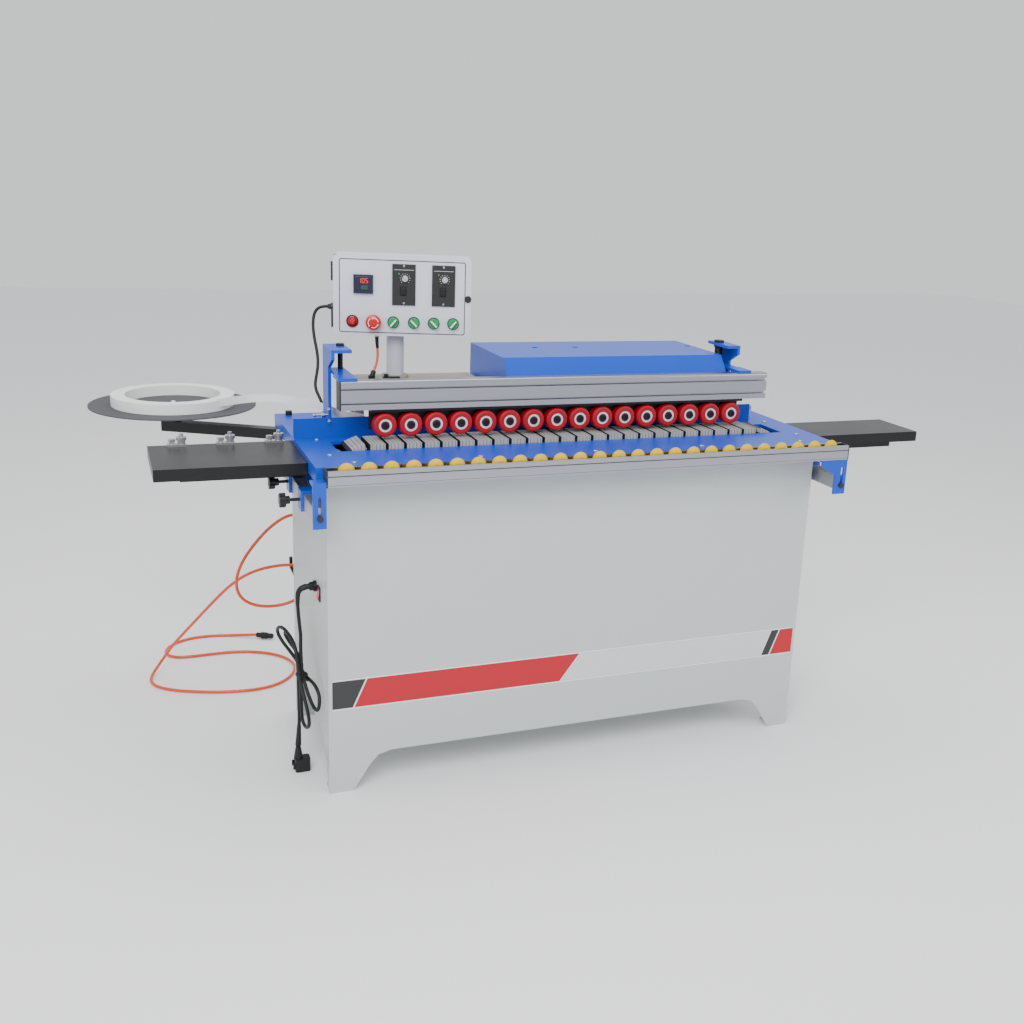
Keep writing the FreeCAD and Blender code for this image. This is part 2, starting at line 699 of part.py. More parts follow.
def box_door():
    w, h = box_width / 2 - 1, box_height / 2 - 1
    door = box(-w, w, 0, door_depth, -h, h)
    upright = [e for e in door.Edges if e.BoundBox.YLength > door_depth / 2]
    door = door.makeFillet(6, upright)
    door = door.cut(box(-w + 2.5, w - 2.5, 2.5, door_depth + 1, -h + 2.5, h - 2.5))
    modules = [box(cx - 30, cx + 30, -4, 1, dial_panel_z - 52, dial_panel_z + 53) for cx in dial_x]
    meter = box(meter_x - 25, meter_x + 25, -9, 1, meter_z - 24, meter_z + 24)
    lamp = turned([(0, 0), (14, 0), (14, 3), (11, 4), (10, 9), (6, 13), (0, 14)],
                  (lamp_x, 0, button_row), (0, -1, 0))
    lock = joined(rod_y(9, w - 8, -3, 0, 4), box(w - 10, w - 6, -6, -2, -7, 7))
    hinges = []
    for z in door_hinge_z:                      # door half of the hinges
        leaf = box(-w - 2, -w, 2, door_hinge_y - door_hinge_radius - 0.5, z - 24, z + 24)
        tongue = box(-w - 2, -w, 2, door_hinge_y, z - 10, z + 10)
        barrel = rod_z(door_hinge_radius, door_hinge_x, door_hinge_y, z - 10, 20)
        hinges += [leaf, tongue, barrel]
    door = joined(door, meter, lamp, lock, *(modules + hinges))
    for z in door_hinge_z:
        door = door.cut(rod_z(1.2 + running_gap, door_hinge_x, door_hinge_y, z - 12, 24))
    for cx in dial_x:                          # bores for the speed dials' spindles
        door = door.cut(rod_y(3 + running_gap, cx + 3, -5, dial_z, 12))
    for cx in selector_x + [stop_x]:
        door = door.cut(rod_y(button_shank + running_gap, cx, -1, button_row, 8))
    return on_box(door)


def stop_button():
    head = [(0, 12), (14, 12), (19, 14), (20, 19), (18, 25), (9, 28), (0, 28.5)]
    stem = [(0, -6), (button_shank, -6), (button_shank, 13), (0, 13)]
    cap = joined(turned(head, (stop_x, 0, button_row), (0, -1, 0)),
                 turned(stem, (stop_x, 0, button_row), (0, -1, 0)))
    return on_box(cap)


def selector(index):
    x = selector_x[index]
    base = turned([(0, -6), (button_shank, -6), (button_shank, 0.4), (13.5, 0.4), (13.5, 9), (12, 11), (0, 11)],
                  (x, 0, button_row), (0, -1, 0))
    grip = box(x - 3, x + 3, -21, -10, button_row - 12, button_row + 12)
    grip.rotate(V(x, 0, button_row), V(0, 1, 0), selector_turn[index])
    return on_box(joined(base, grip))


def speed_dial(index):
    x = dial_x[index] + 3
    knob = turned([(0, 4.4), (8.5, 4.4), (8, 14), (6.5, 15.5), (0, 15.5)], (x, 0, dial_z), (0, -1, 0))
    spindle = turned([(0, -4), (3, -4), (3, 5), (0, 5)], (x, 0, dial_z), (0, -1, 0))
    mark = box(x - 1, x + 1, -16.5, -14, dial_z, dial_z + 8)
    mark.rotate(V(x, 0, dial_z), V(0, 1, 0), -30)
    return on_box(joined(knob, spindle, mark))


def power_switch():
    """Rocker in the cabinet's left side; it tips about a bar across its middle."""
    y0, y1 = switch_y - switch_half_y + 1.2, switch_y + switch_half_y - 1.2
    rocker = slab([(-2.5, y0, switch_z - 12.5), (-6.5, y0, switch_z - 12.5), (-3.5, y0, switch_z),
                   (-2.5, y0, switch_z + 12.5), (3.5, y0, switch_z + 9), (3.5, y0, switch_z - 9)],
                  (0, y1 - y0, 0))
    return rocker


# ---- pull-out support ----
def front_rail():
    r, w = rail_wall, rail_depth
    y0 = rail_front
    z0 = rail_top - rail_height
    rail = box(rail_left, rail_right, y0, y0 + w, z0, rail_top)
    rail = rail.cut(box(rail_left - 1, rail_right + 1, y0 + r, y0 + w - r, z0 + r, rail_top - r))
    rail = rail.cut(box(rail_left - 1, rail_right + 1, rail_middle - 12.5, rail_middle + 12.5,
                        rail_top - r - 1, rail_top + 1))
    rail = rail.cut(box(rail_left - 1, rail_right + 1, y0 - 1, y0 + 0.8, rail_top - 14, rail_top - 12))
    for x in bead_places():
        rail = rail.cut(rod_y(bead_axle_radius + 0.01, x, y0 - 1, bead_axis_z, w + 2))
    caps = [box(x, x + 3, y0, y0 + w, z0, rail_top) for x in (rail_left - 3, rail_right)]
    return [rail] + caps


def bead_places():
    return [first_bead_x + i * bead_pitch for i in range(bead_count)]


def bead_wheels():
    half = bead_width / 2
    bore = bead_axle_radius + running_gap
    outline = [(bore, -half), (7, -half), (10, -half), (bead_radius - 5, -half + 2), (bead_radius - 0.8, -2),
               (bead_radius, 0), (bead_radius - 0.8, 2), (bead_radius - 5, half - 2), (10, half), (7, half),
               (bore, half)]
    return [turned(outline, (x, rail_middle, bead_axis_z), (0, 1, 0)) for x in bead_places()]


def bead_axles():
    return [rod_y(bead_axle_radius, x, rail_front + 0.4, bead_axis_z, rail_depth - 0.8) for x in bead_places()]


def support_frame():
    """Two tubes that slide in the saddles, with the brackets that hold the rail."""
    y0 = tube_front
    tubes = []
    for x in (left_tube_x, right_tube_x):
        outer = box(x, x + tube_width, y0, y0 + tube_length, tube_bottom, tube_bottom + tube_height)
        inner = box(x + 2.5, x + tube_width - 2.5, y0 + 3, y0 + tube_length - 3,
                    tube_bottom + 2.5, tube_bottom + tube_height - 2.5)
        tubes.append(outer.cut(inner))
    under = rail_top - rail_height
    y = rail_front
    x0, x1 = left_tube_x - 2, left_tube_x + tube_width + 1
    plate = box(x0, x1, y, y + 5, bracket_bottom, under + 12)
    flange = box(x0, x1, y, y + 36, under + 6, under + 12)
    tab = box(x1 - 1, rail_left - 3, y + 6, y + 30, under + 4, under + 12)
    left = joined(plate, flange, tab)
    x2 = right_tube_x + tube_width
    right = slab([(rail_right - 78, y, under - clear / 2), (rail_right - 78, y, under - 14),
                  (right_tube_x - 8, y, bracket_bottom + 52), (right_tube_x - 8, y, bracket_bottom),
                  (x2, y, bracket_bottom), (x2, y, under - clear / 2)], (0, 5, 0))
    right = joined(right, box(rail_right - 78, rail_right, y, y + 34, under - clear / 2 - 5, under - clear / 2))
    brackets = [left, right]
    bolts = []
    slot_low, slot_high, bolt_z = tube_bottom + 10, tube_bottom + 58, tube_bottom + 12
    for i, x in enumerate((left_tube_x, right_tube_x)):
        cx = x + tube_width / 2
        slot = joined(box(cx - 3.5, cx + 3.5, y - 1, y + 6, slot_low, slot_high), rod_y(3.5, cx, y - 1, slot_low, 7),
                      rod_y(3.5, cx, y - 1, slot_high, 7))
        brackets[i] = brackets[i].cut(slot)
        bolts.append(joined(rod_y(7, cx, y - bolt_head, bolt_z, bolt_head - 0.2), rod_y(3.2, cx, y - 1, bolt_z, 14)))
        tubes[i] = tubes[i].cut(rod_y(3.3, cx, y, bolt_z, 20))
    return tubes + brackets + bolts


def guide_saddles():
    """Blocks on the cabinet's sides that the support tubes slide through."""
    g = slide_gap
    z0, z1 = tube_bottom - g, tube_bottom + tube_height + g
    saddles = []
    for y0, y1 in saddle_places:
        x0, x1 = left_tube_x - g, left_tube_x + tube_width + g
        left = box(x0 - saddle_wall, 0, y0, y1, z0 - saddle_wall, z1 + saddle_wall)
        left = left.cut(box(x0, x1, y0 - 1, y1 + 1, z0, z1))
        saddles.append(left.cut(rod_x(knob_screw_radius + running_gap, x0 - saddle_wall - 1, (y0 + y1) / 2,
                                      knob_z, saddle_wall + 2)))
        x0, x1 = right_tube_x - g, right_tube_x + tube_width + g
        right = box(cabinet_width, x1 + saddle_wall, y0, y1, z0 - saddle_wall, z1 + saddle_wall)
        saddles.append(right.cut(box(x0, x1, y0 - 1, y1 + 1, z0, z1)))
    return saddles


def clamp_knob(y):
    """Lobed knob whose screw clamps the left support tube."""
    face = left_tube_x - slide_gap - saddle_wall
    screw = rod_x(knob_screw_radius, face - 26, y, knob_z, 26 + saddle_wall)
    hub = rod_x(9.5, face - 34, y, knob_z, 12)
    grip = rod_x(17, face - 46, y, knob_z, 14)
    cuts = []
    for i in range(6):
        a = math.radians(60 * i)
        cuts.append(rod_x(5.5, face - 48, y + 19.5 * math.cos(a), knob_z + 19.5 * math.sin(a), 18))
    return joined(grip.cut(Part.makeCompound(cuts)), hub, screw)


# ---- tape reel ----
def reel_arm():
    dx, dy = reel_x - arm_pivot_x, reel_y - arm_pivot_y
    length = math.hypot(dx, dy)
    tail = 24.0
    bar = box(-tail, length + 30, -arm_width / 2, arm_width / 2, arm_top - arm_height, arm_top)
    bar.rotate(V(0, 0, 0), V(0, 0, 1), math.degrees(math.atan2(dy, dx)))
    bar.translate(V(arm_pivot_x, arm_pivot_y, 0))
    bar = bar.cut(rod_z(arm_bolt_radius + running_gap, arm_pivot_x, arm_pivot_y, arm_top - arm_height - 1,
                        arm_height + 2))
    bush = rod_z(19, reel_x, reel_y, arm_top - 1, 24)
    bar = joined(bar, bush)
    return bar.cut(rod_z(reel_shaft_radius + running_gap, reel_x, reel_y, arm_top - 18, 60))


def arm_pivot_bolt():
    low = arm_top - arm_height - 8
    spacer = rod_z(14, arm_pivot_x, arm_pivot_y, arm_top + 0.2, table_under - arm_top - 0.4)
    spacer = spacer.cut(rod_z(arm_bolt_radius + running_gap, arm_pivot_x, arm_pivot_y, arm_top, 40))
    bolt = joined(rod_z(arm_bolt_radius, arm_pivot_x, arm_pivot_y, low, table_height - low + 1),
                  rod_z(9, arm_pivot_x, arm_pivot_y, table_height, 11),
                  rod_z(11, arm_pivot_x, arm_pivot_y, low - 2, 9.5))
    return [bolt, spacer]


def tape_reel():
    hub_low = arm_top + 23 + 0.3
    disc = rod_z(reel_radius, reel_x, reel_y, reel_height - reel_sheet, reel_sheet)
    hub = rod_z(24, reel_x, reel_y, hub_low, reel_height - reel_sheet - hub_low + 0.5)
    shaft = rod_z(reel_shaft_radius, reel_x, reel_y, arm_top - 16, reel_height - arm_top + 20)
    knob = rod_z(5, reel_x, reel_y, reel_height, 8)
    roll = rod_z(tape_roll_radius, reel_x, reel_y, reel_height + 0.2, tape_width)
    roll = roll.cut(rod_z(tape_roll_inner, reel_x, reel_y, reel_height - 1, tape_width + 4))
    return [joined(disc, hub, shaft, knob), roll]


# ---- cords and hose ----
def cord(route, radius, name):
    """A tube along straight runs joined by tangent arcs."""
    points = [V(*p) for p in route]
    edges = []
    start = points[0]
    radii = []
    length = 0.0
    for a, b, c in zip(points, points[1:], points[2:]):
        u, w = b - a, c - b
        turn = u.getAngle(w)
        cut = 0.45 * min(u.Length, w.Length)
        radii.append(cut / math.tan(turn / 2))
        u.normalize()
        w.normalize()
        first, last = b - u * cut, b + w * cut
        bisector = w - u
        bisector.normalize()
        r = radii[-1]
        middle = b + bisector * (r / math.cos(turn / 2) - r)
        edges.append(Part.LineSegment(start, first).toShape())
        edges.append(Part.Arc(first, middle, last).toShape())
        length += (first - start).Length + r * turn
        start = last
    edges.append(Part.LineSegment(start, points[-1]).toShape())
    length += (points[-1] - start).Length
    path = Part.Wire(edges)
    heading = points[1] - points[0]
    ring = Part.Wire(Part.makeCircle(radius, points[0], heading))
    tube = path.makePipeShell([ring], True, False, 1)
    ideal = math.pi * radius ** 2 * length
    print(name, "length", round(length), "volume/ideal", round(tube.Volume / ideal, 4),
          "radii", [round(r) for r in radii])
    return tube


def over_table(points):
    """Route points whose third number is their height above the table."""
    return [(x, y, table_height + z) for x, y, z in points]


mains_route = [
    (-24, 150, 497), (-36, 150, 494.5), (-43.5, 151, 485), (-46, 151, 471), (-46, 150, 452), (-45, 148, 426),
    (-43, 145, 397), (-41, 142, 371), (-40.5, 141, 349.6),
]
hank_tie = (-41.0, 138.0)        # where the tie holds the hanging hank
hank_thickness = 30.0
tail_route = [
    (-46.2, 158.3, 261.6), (-46.2, 158, 236), (-46, 157, 208), (-46.2, 156.2, 180), (-46, 154.5, 152),
    (-47.5, 151, 124), (-50, 146.5, 97), (-52, 142.5, 72),
]
plug_place = (-52.3, 142.0)
hose_route = [
    (45, 512, 562), (45, 536, 562), (36, 558, 561), (19, 575, 558), (-3, 585, 551), (-28, 585, 538),
    (-60, 579, 515), (-96, 573, 478), (-128, 570, 434), (-146, 570, 388), (-146, 572, 348), (-130, 573, 318),
    (-100, 573, 299), (-62, 572, 291), (-22, 570, 293), (10, 569, 302), (38, 572, 318),
    (57, 578, 344), (58, 586, 374), (38, 596, 395), (6, 604, 401), (-36, 615, 396), (-80, 634, 382),
    (-122, 658, 356), (-162, 688, 314), (-200, 720, 262), (-238, 756, 206), (-276, 796, 148),
    (-308, 826, 100), (-332, 844, 58), (-354, 846, 26), (-374, 822, 8), (-378, 786, 5), (-366, 752, 5),
    (-340, 724, 5), (-304, 700, 5), (-258, 680, 5), (-208, 662, 5), (-150, 650, 5), (-88, 646, 5),
    (-26, 664, 5), (22, 712, 5), (46, 776, 5), (38, 836, 5), (4, 888, 5),
    (-50, 926, 5), (-112, 946, 5), (-180, 948, 5), (-244, 944, 5), (-292, 948, 5),
    (-322, 976, 5), (-322, 1020, 5), (-292, 1066, 5), (-240, 1096, 5), (-176, 1100, 5),
    (-112, 1086, 5), (-58, 1064, 9), (-36, 1052, 12),
]
signal_route = over_table([
    (99.3, 492.1, 297), (86, 495.6, 296.5), (73.5, 495, 290.5), (65, 490, 279), (60.5, 483, 263),
    (58.5, 474, 243), (59.5, 465, 220), (62.5, 455, 196), (64.8, 445, 171), (63, 436, 147),
    (57.5, 427, 126), (52, 418, 107), (52.5, 409, 90), (59, 400, 74), (65, 392, 57), (67, 385, 39),
    (66, 381, 22),
])
drop_route = over_table([
    (216, 425, 225.6), (216, 425, 212), (217.5, 424, 196), (218, 422, 179), (215.5, 419, 163),
    (211.2, 416, 150), (205.6, 412.8, 137.6),
])


def hank():
    """Outer shape of the tied bundle of mains cord, in the upright plane that it hangs in."""
    def on_plane(along, z):
        x, y = hank_tie
        return (x - 0.25 * along, y + 0.968 * along, z)

    outlines = [
        [(150, 326), (134, 352), (92, 372), (48, 368), (12, 349), (-6, 347), (-22, 296), (-10, 262), (28, 262),
         (66, 276), (130, 300)],
        [(14, 263), (-12, 263), (-32, 276), (-64, 270), (-94, 250), (-100, 214), (-92, 194), (-78, 190),
         (-20, 200), (12, 228)],
        [(11, 230), (9, 136), (-2, 124), (-24, 124), (-58, 150), (-72, 196), (-20, 201)],
    ]
    out = V(0.968, 0.25, 0) * hank_thickness
    pieces = []
    for outline in outlines:
        piece = slab([on_plane(s, z) for s, z in outline], out)
        piece.translate(out * -0.5)
        pieces.append(piece)
    return joined(*pieces)


def mains_plug():
    """Moulded plug that rests on the floor, with its grip towards the cord."""
    x, y = plug_place
    body = box(x - 9, x + 29, y - 15, y + 15, 1, 36)
    upright = [e for e in body.Edges if e.BoundBox.ZLength > 20]
    body = body.makeFillet(6, upright)
    neck = turned([(0, 0), (12, 0), (7, 30), (6, 34), (0, 34)], (x, y, 35.5), (0, 0, 1))
    blades = [box(x - 15, x - 8, y - 12, y - 10, 10, 26), box(x - 15, x - 8, y + 10, y + 12, 10, 26)]
    return joined(body, neck, *blades)


def hose_coupler():
    """Quick coupler on the hose's free end, lying on the floor."""
    body = turned([(hose_radius + 3, 0), (8, 2), (8, 14), (10.5, 17), (10.5, 34), (8.5, 38), (8.5, 52), (6, 56),
                   (0, 56), (0, 0.2)], (-35.6, 1051.8, 12), (22, -12, 0))
    return body


def cord_fittings():
    """Glands, the hose's peg, the deck's hose elbow and lever, and the signal cord's bush."""
    mains = turned([(mains_radius + 0.3, 24), (6, 24), (8, 18), (11, 16), (11, 8), (14, 7), (14, 0.2),
                    (mains_radius + 0.3, 0.2)], (0, gland_y, gland_z), (-1, 0, 0))
    air = turned([(hose_radius + 0.3, 17), (8, 17), (9, 10), (13, 8), (13, 0.2), (hose_radius + 0.3, 0.2)],
                 (hose_exit_x, cabinet_depth, hose_exit_z), (0, 1, 0))
    rear = cabinet_depth + 0.2
    peg = joined(box(hose_peg_x - 10, hose_peg_x + 14, rear, rear + 3, hose_peg_z - 20, hose_peg_z + 20),
                 rod_y(5, hose_peg_x, rear, hose_peg_z, 126), rod_z(5, hose_peg_x, rear + 121, hose_peg_z, 30))
    end, before = V(*drop_route[-1]), V(*drop_route[-2])
    up = (before - end).normalize()
    foot = end - up * 17.3
    elbow = joined(rod_z(9, foot.x, foot.y, deck_height, foot.z - deck_height + 4), rod(up, 6.5, foot, 17))
    lever = joined(box(228, 272, 396, 408, deck_height, deck_height + 9),
                   rod_z(6, 236, 402, deck_height + 8, 8))
    x, y, z = signal_route[-1]
    bush = rod_z(9, x, y, table_height + 0.1, z - 1.3 - table_height)
    return [mains, air, peg, elbow, lever, bush]


def box_gland():
    gland = turned([(signal_radius + 0.3, 18), (5.5, 18), (8, 10), (10, 8), (10, 0.2), (signal_radius + 0.3, 0.2)],
                   (-box_width / 2, box_gland_y, box_gland_z), (-1, 0, 0))
    return on_box(gland)


os.makedirs("parts", exist_ok=True)

save("cabinet_shell", cabinet_shell())
save("rear_panel", rear_panel())
save("table_plate", table_plate())
save("table_fasteners", *(table_screws() + arm_pivot_bolt()))
save("extension_tables", *(extension_tables() + edge_guides()))
save("fence", fence())
save("conveyor_pads", *conveyor_pads())
save("drive_sprocket", sprocket(drive_x, bearing_front - 6, bearing_rear + 70))
save("idler_sprocket", sprocket(idler_x, bearing_front - 6, bearing_rear + 28))
save("inner_units", *inner_units())
save("pressure_beam", pressure_beam(), beam_end_cap())
save("roller_bar", *roller_bar())
for number, x in enumerate(roller_places(), 1):
    save("presser_roller_%02d" % number, presser_roller(x))
save("beam_posts", *beam_posts())
save("left_lead_screw", lead_screw(left_screw_x, left_screw_radius))
save("right_lead_screw", lead_screw(right_screw_x, right_screw_radius))
save("beam_brackets", *beam_brackets())
save("rear_deck", *(rear_deck() + [post_socket()]))
save("hood", hood())
save("control_box", control_box(), box_gland())
save("box_door", box_door())
save("stop_button", stop_button())
for number in range(4):
    save("selector_%d" % (number + 1), selector(number))
for number in range(2):
    save("speed_dial_%d" % (number + 1), speed_dial(number))
save("power_switch", power_switch())
save("front_rail", *(front_rail() + bead_axles()))
save("bead_wheels", *bead_wheels())
save("support_frame", *support_frame())
save("guide_saddles", *guide_saddles())
save("clamp_knob_front", clamp_knob(sum(saddle_places[0]) / 2))
save("clamp_knob_rear", clamp_knob(sum(saddle_places[1]) / 2))
save("reel_arm", reel_arm())
save("tape_reel", *tape_reel())
save("cord_fittings", *cord_fittings())
save("mains_cord", cord(mains_route, mains_radius, "mains_cord"), cord(tail_route, mains_radius, "mains_tail"))
save("mains_hank", hank())
save("mains_plug", mains_plug())
save("air_hose", cord(hose_route, hose_radius, "air_hose"))
save("hose_coupler", hose_coupler())
save("signal_cord", cord(signal_route, signal_radius, "signal_cord"))
save("drop_hose", cord(drop_route, drop_radius, "drop_hose"))
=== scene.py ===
import bpy
import math
from mathutils import Matrix, Vector


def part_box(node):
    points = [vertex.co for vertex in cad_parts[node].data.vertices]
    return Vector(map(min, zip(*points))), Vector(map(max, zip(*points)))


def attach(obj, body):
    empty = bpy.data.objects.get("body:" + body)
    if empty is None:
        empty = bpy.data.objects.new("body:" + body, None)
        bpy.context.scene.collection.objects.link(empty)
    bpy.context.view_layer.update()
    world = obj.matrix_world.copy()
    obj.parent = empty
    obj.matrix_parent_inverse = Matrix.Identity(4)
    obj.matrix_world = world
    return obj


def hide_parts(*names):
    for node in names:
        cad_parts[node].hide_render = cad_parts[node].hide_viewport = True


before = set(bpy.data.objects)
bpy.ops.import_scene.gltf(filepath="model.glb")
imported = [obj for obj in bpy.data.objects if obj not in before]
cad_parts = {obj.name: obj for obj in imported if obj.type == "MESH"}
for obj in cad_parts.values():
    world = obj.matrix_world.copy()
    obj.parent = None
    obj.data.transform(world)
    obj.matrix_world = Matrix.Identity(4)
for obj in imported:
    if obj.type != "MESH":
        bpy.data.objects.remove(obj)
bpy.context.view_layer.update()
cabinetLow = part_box("cabinet_shell")[0]


def at(x, y, z):
    # metres from the cabinet's front left foot, x right, y back, z up
    return Vector((cabinetLow[0] + x, cabinetLow[1] + y, z))


camera = {
    "place": (-0.4789, -2.5507, 1.4930),
    "right": (0.92591, -0.37492, 0.04606),
    "up": (0.06059, 0.26777, 0.96157),
    "lens": 40.26,
    "shift": (-0.0504, -0.0088),
}
light = {"sky": 0.95, "key": 150.0, "fill": 32.0, "top": 50.0}


def deselectAll():
    for thing in list(bpy.context.selected_objects):
        thing.select_set(False)


def pick(thing):
    deselectAll()
    thing.select_set(True)
    bpy.context.view_layer.objects.active = thing


def setCamera():
    data = bpy.data.cameras.new("mainView")
    data.lens = camera["lens"]
    data.shift_x, data.shift_y = camera["shift"]
    data.clip_end = 60
    right, up = Vector(camera["right"]), Vector(camera["up"])
    back = right.cross(up)
    turn = Matrix((right, up, back)).transposed().to_4x4()
    thing = bpy.data.objects.new("mainView", data)
    thing.matrix_world = Matrix.Translation(at(*camera["place"])) @ turn
    bpy.context.collection.objects.link(thing)
    bpy.context.scene.camera = thing


def areaLight(name, place, target, size, power):
    data = bpy.data.lights.new(name, "AREA")
    data.shape = "DISK"
    data.size = size
    data.energy = power
    thing = bpy.data.objects.new(name, data)
    aim = (Vector(target) - Vector(place)).to_track_quat("-Z", "Y")
    thing.matrix_world = Matrix.Translation(Vector(place)) @ aim.to_matrix().to_4x4()
    bpy.context.collection.objects.link(thing)


def setStage():
    world = bpy.data.worlds.new("studio")
    bpy.context.scene.world = world
    world.use_nodes = True
    sky = world.node_tree.nodes["Background"]
    sky.inputs["Color"].default_value = (0.97, 0.98, 1.0, 1)
    sky.inputs["Strength"].default_value = light["sky"]
    areaLight("keyLight", (-1.8, -3.2, 3.4), (0, 0, 0.6), 2.6, light["key"])
    areaLight("fillLight", (3.0, -2.6, 2.2), (0, 0, 0.6), 2.2, light["fill"])
    areaLight("topLight", (0, 0.6, 3.6), (0, 0, 0.6), 3.0, light["top"])
    deselectAll()
    bpy.ops.mesh.primitive_plane_add(size=24, location=(0, 0, 0))
    ground = bpy.context.active_object
    ground.name = "studioFloor"
    paper = bpy.data.materials.new("paperFloor")
    paper.use_nodes = True
    shade = paper.node_tree.nodes["Principled BSDF"]
    shade.inputs["Base Color"].default_value = (0.93, 0.93, 0.94, 1)
    shade.inputs["Roughness"].default_value = 0.9
    ground.data.materials.append(paper)


setCamera()
setStage()
print("camera, floor and lights are set")


def newGroup(name, inputs, outputs):
    group = bpy.data.node_groups.new(name, "ShaderNodeTree")
    for label, kind, value in inputs:
        socket = group.interface.new_socket(name=label, in_out="INPUT", socket_type=kind)
        if value is not None:
            socket.default_value = value
    for label, kind in outputs:
        group.interface.new_socket(name=label, in_out="OUTPUT", socket_type=kind)
    return group, group.nodes.new("NodeGroupInput"), group.nodes.new("NodeGroupOutput")


def mathNode(tree, kind, a, b=None, c=None):
    node = tree.nodes.new("ShaderNodeMath")
    node.operation = kind
    for index, value in enumerate((a, b, c)):
        if value is None:
            continue
        if isinstance(value, (int, float)):
            node.inputs[index].default_value = value
        else:
            tree.links.new(value, node.inputs[index])
    return node.outputs[0]


def surfaceGrainGroup():
    # slow change of tone, and a fine texture for bump
    group, start, end = newGroup(
        "surfaceGrain",
        [("Vector", "NodeSocketVector", None), ("Grain", "NodeSocketFloat", 900.0),
         ("Cloud", "NodeSocketFloat", 6.0), ("Spread", "NodeSocketFloat", 0.1)],
        [("Tone", "NodeSocketFloat"), ("Height", "NodeSocketFloat")])
    fine = group.nodes.new("ShaderNodeTexNoise")
    slow = group.nodes.new("ShaderNodeTexNoise")
    fine.inputs["Detail"].default_value = 3
    slow.inputs["Detail"].default_value = 5
    group.links.new(start.outputs["Vector"], fine.inputs["Vector"])
    group.links.new(start.outputs["Vector"], slow.inputs["Vector"])
    group.links.new(start.outputs["Grain"], fine.inputs["Scale"])
    group.links.new(start.outputs["Cloud"], slow.inputs["Scale"])
    centred = mathNode(group, "SUBTRACT", slow.outputs["Fac"], 0.5)
    spread = mathNode(group, "MULTIPLY", centred, start.outputs["Spread"])
    tone = mathNode(group, "ADD", spread, 1.0)
    group.links.new(tone, end.inputs["Tone"])
    group.links.new(fine.outputs["Fac"], end.inputs["Height"])
    return group


def regionGroup():
    # 1 where a coordinate lies between low and high
    group, start, end = newGroup(
        "between",
        [("Value", "NodeSocketFloat", 0.0), ("Low", "NodeSocketFloat", 0.0),
         ("High", "NodeSocketFloat", 1.0)],
        [("Mask", "NodeSocketFloat")])
    above = mathNode(group, "GREATER_THAN", start.outputs["Value"], start.outputs["Low"])
    below = mathNode(group, "LESS_THAN", start.outputs["Value"], start.outputs["High"])
    group.links.new(mathNode(group, "MULTIPLY", above, below), end.inputs["Mask"])
    return group


surfaceGrain = surfaceGrainGroup()
between = regionGroup()


def makeFinish(name, colour, roughness, metallic=0.0, grain=900.0, cloud=6.0, spread=0.1, bump=0.1,
               depth=0.0002, coat=0.0, stretch=(1, 1, 1), shine=0.35):
    finish = bpy.data.materials.new(name)
    finish.use_nodes = True
    finish.diffuse_color = (*colour, 1)
    tree = finish.node_tree
    shade = tree.nodes["Principled BSDF"]
    shade.inputs["Metallic"].default_value = metallic
    shade.inputs["Coat Weight"].default_value = coat
    shade.inputs["Specular IOR Level"].default_value = shine
    shade.inputs["Coat Roughness"].default_value = 0.15
    where = tree.nodes.new("ShaderNodeTexCoord")
    where.name = "where"
    mapping = tree.nodes.new("ShaderNodeMapping")
    mapping.inputs["Scale"].default_value = stretch
    tree.links.new(where.outputs["Object"], mapping.inputs["Vector"])
    texture = tree.nodes.new("ShaderNodeGroup")
    texture.node_tree = surfaceGrain
    texture.name = "texture"
    tree.links.new(mapping.outputs["Vector"], texture.inputs["Vector"])
    for label, value in (("Grain", grain), ("Cloud", cloud), ("Spread", spread)):
        texture.inputs[label].default_value = value
    tint = tree.nodes.new("ShaderNodeMix")
    tint.data_type = "RGBA"
    tint.blend_type = "MULTIPLY"
    tint.inputs["Factor"].default_value = 1.0
    tint.inputs["A"].default_value = (*colour, 1)
    tree.links.new(texture.outputs["Tone"], tint.inputs["B"])
    tree.links.new(tint.outputs["Result"], shade.inputs["Base Color"])
    tint.name = "colour"
    tree.links.new(mathNode(tree, "MULTIPLY", texture.outputs["Tone"], roughness), shade.inputs["Roughness"])
    if bump:
        relief = tree.nodes.new("ShaderNodeBump")
        relief.inputs["Strength"].default_value = bump
        relief.inputs["Distance"].default_value = depth
        tree.links.new(texture.outputs["Height"], relief.inputs["Height"])
        tree.links.new(relief.outputs["Normal"], shade.inputs["Normal"])
    return finish


def coordinate(tree, axis):
    split = tree.nodes.get("split")
    if split is None:
        split = tree.nodes.new("ShaderNodeSeparateXYZ")
        split.name = "split"
        tree.links.new(tree.nodes["where"].outputs["Object"], split.inputs[0])
    return split.outputs[axis]


def band(tree, value, low, high):
    node = tree.nodes.new("ShaderNodeGroup")
    node.node_tree = between
    tree.links.new(value, node.inputs["Value"])
    node.inputs["Low"].default_value = low
    node.inputs["High"].default_value = high
    return node.outputs["Mask"]


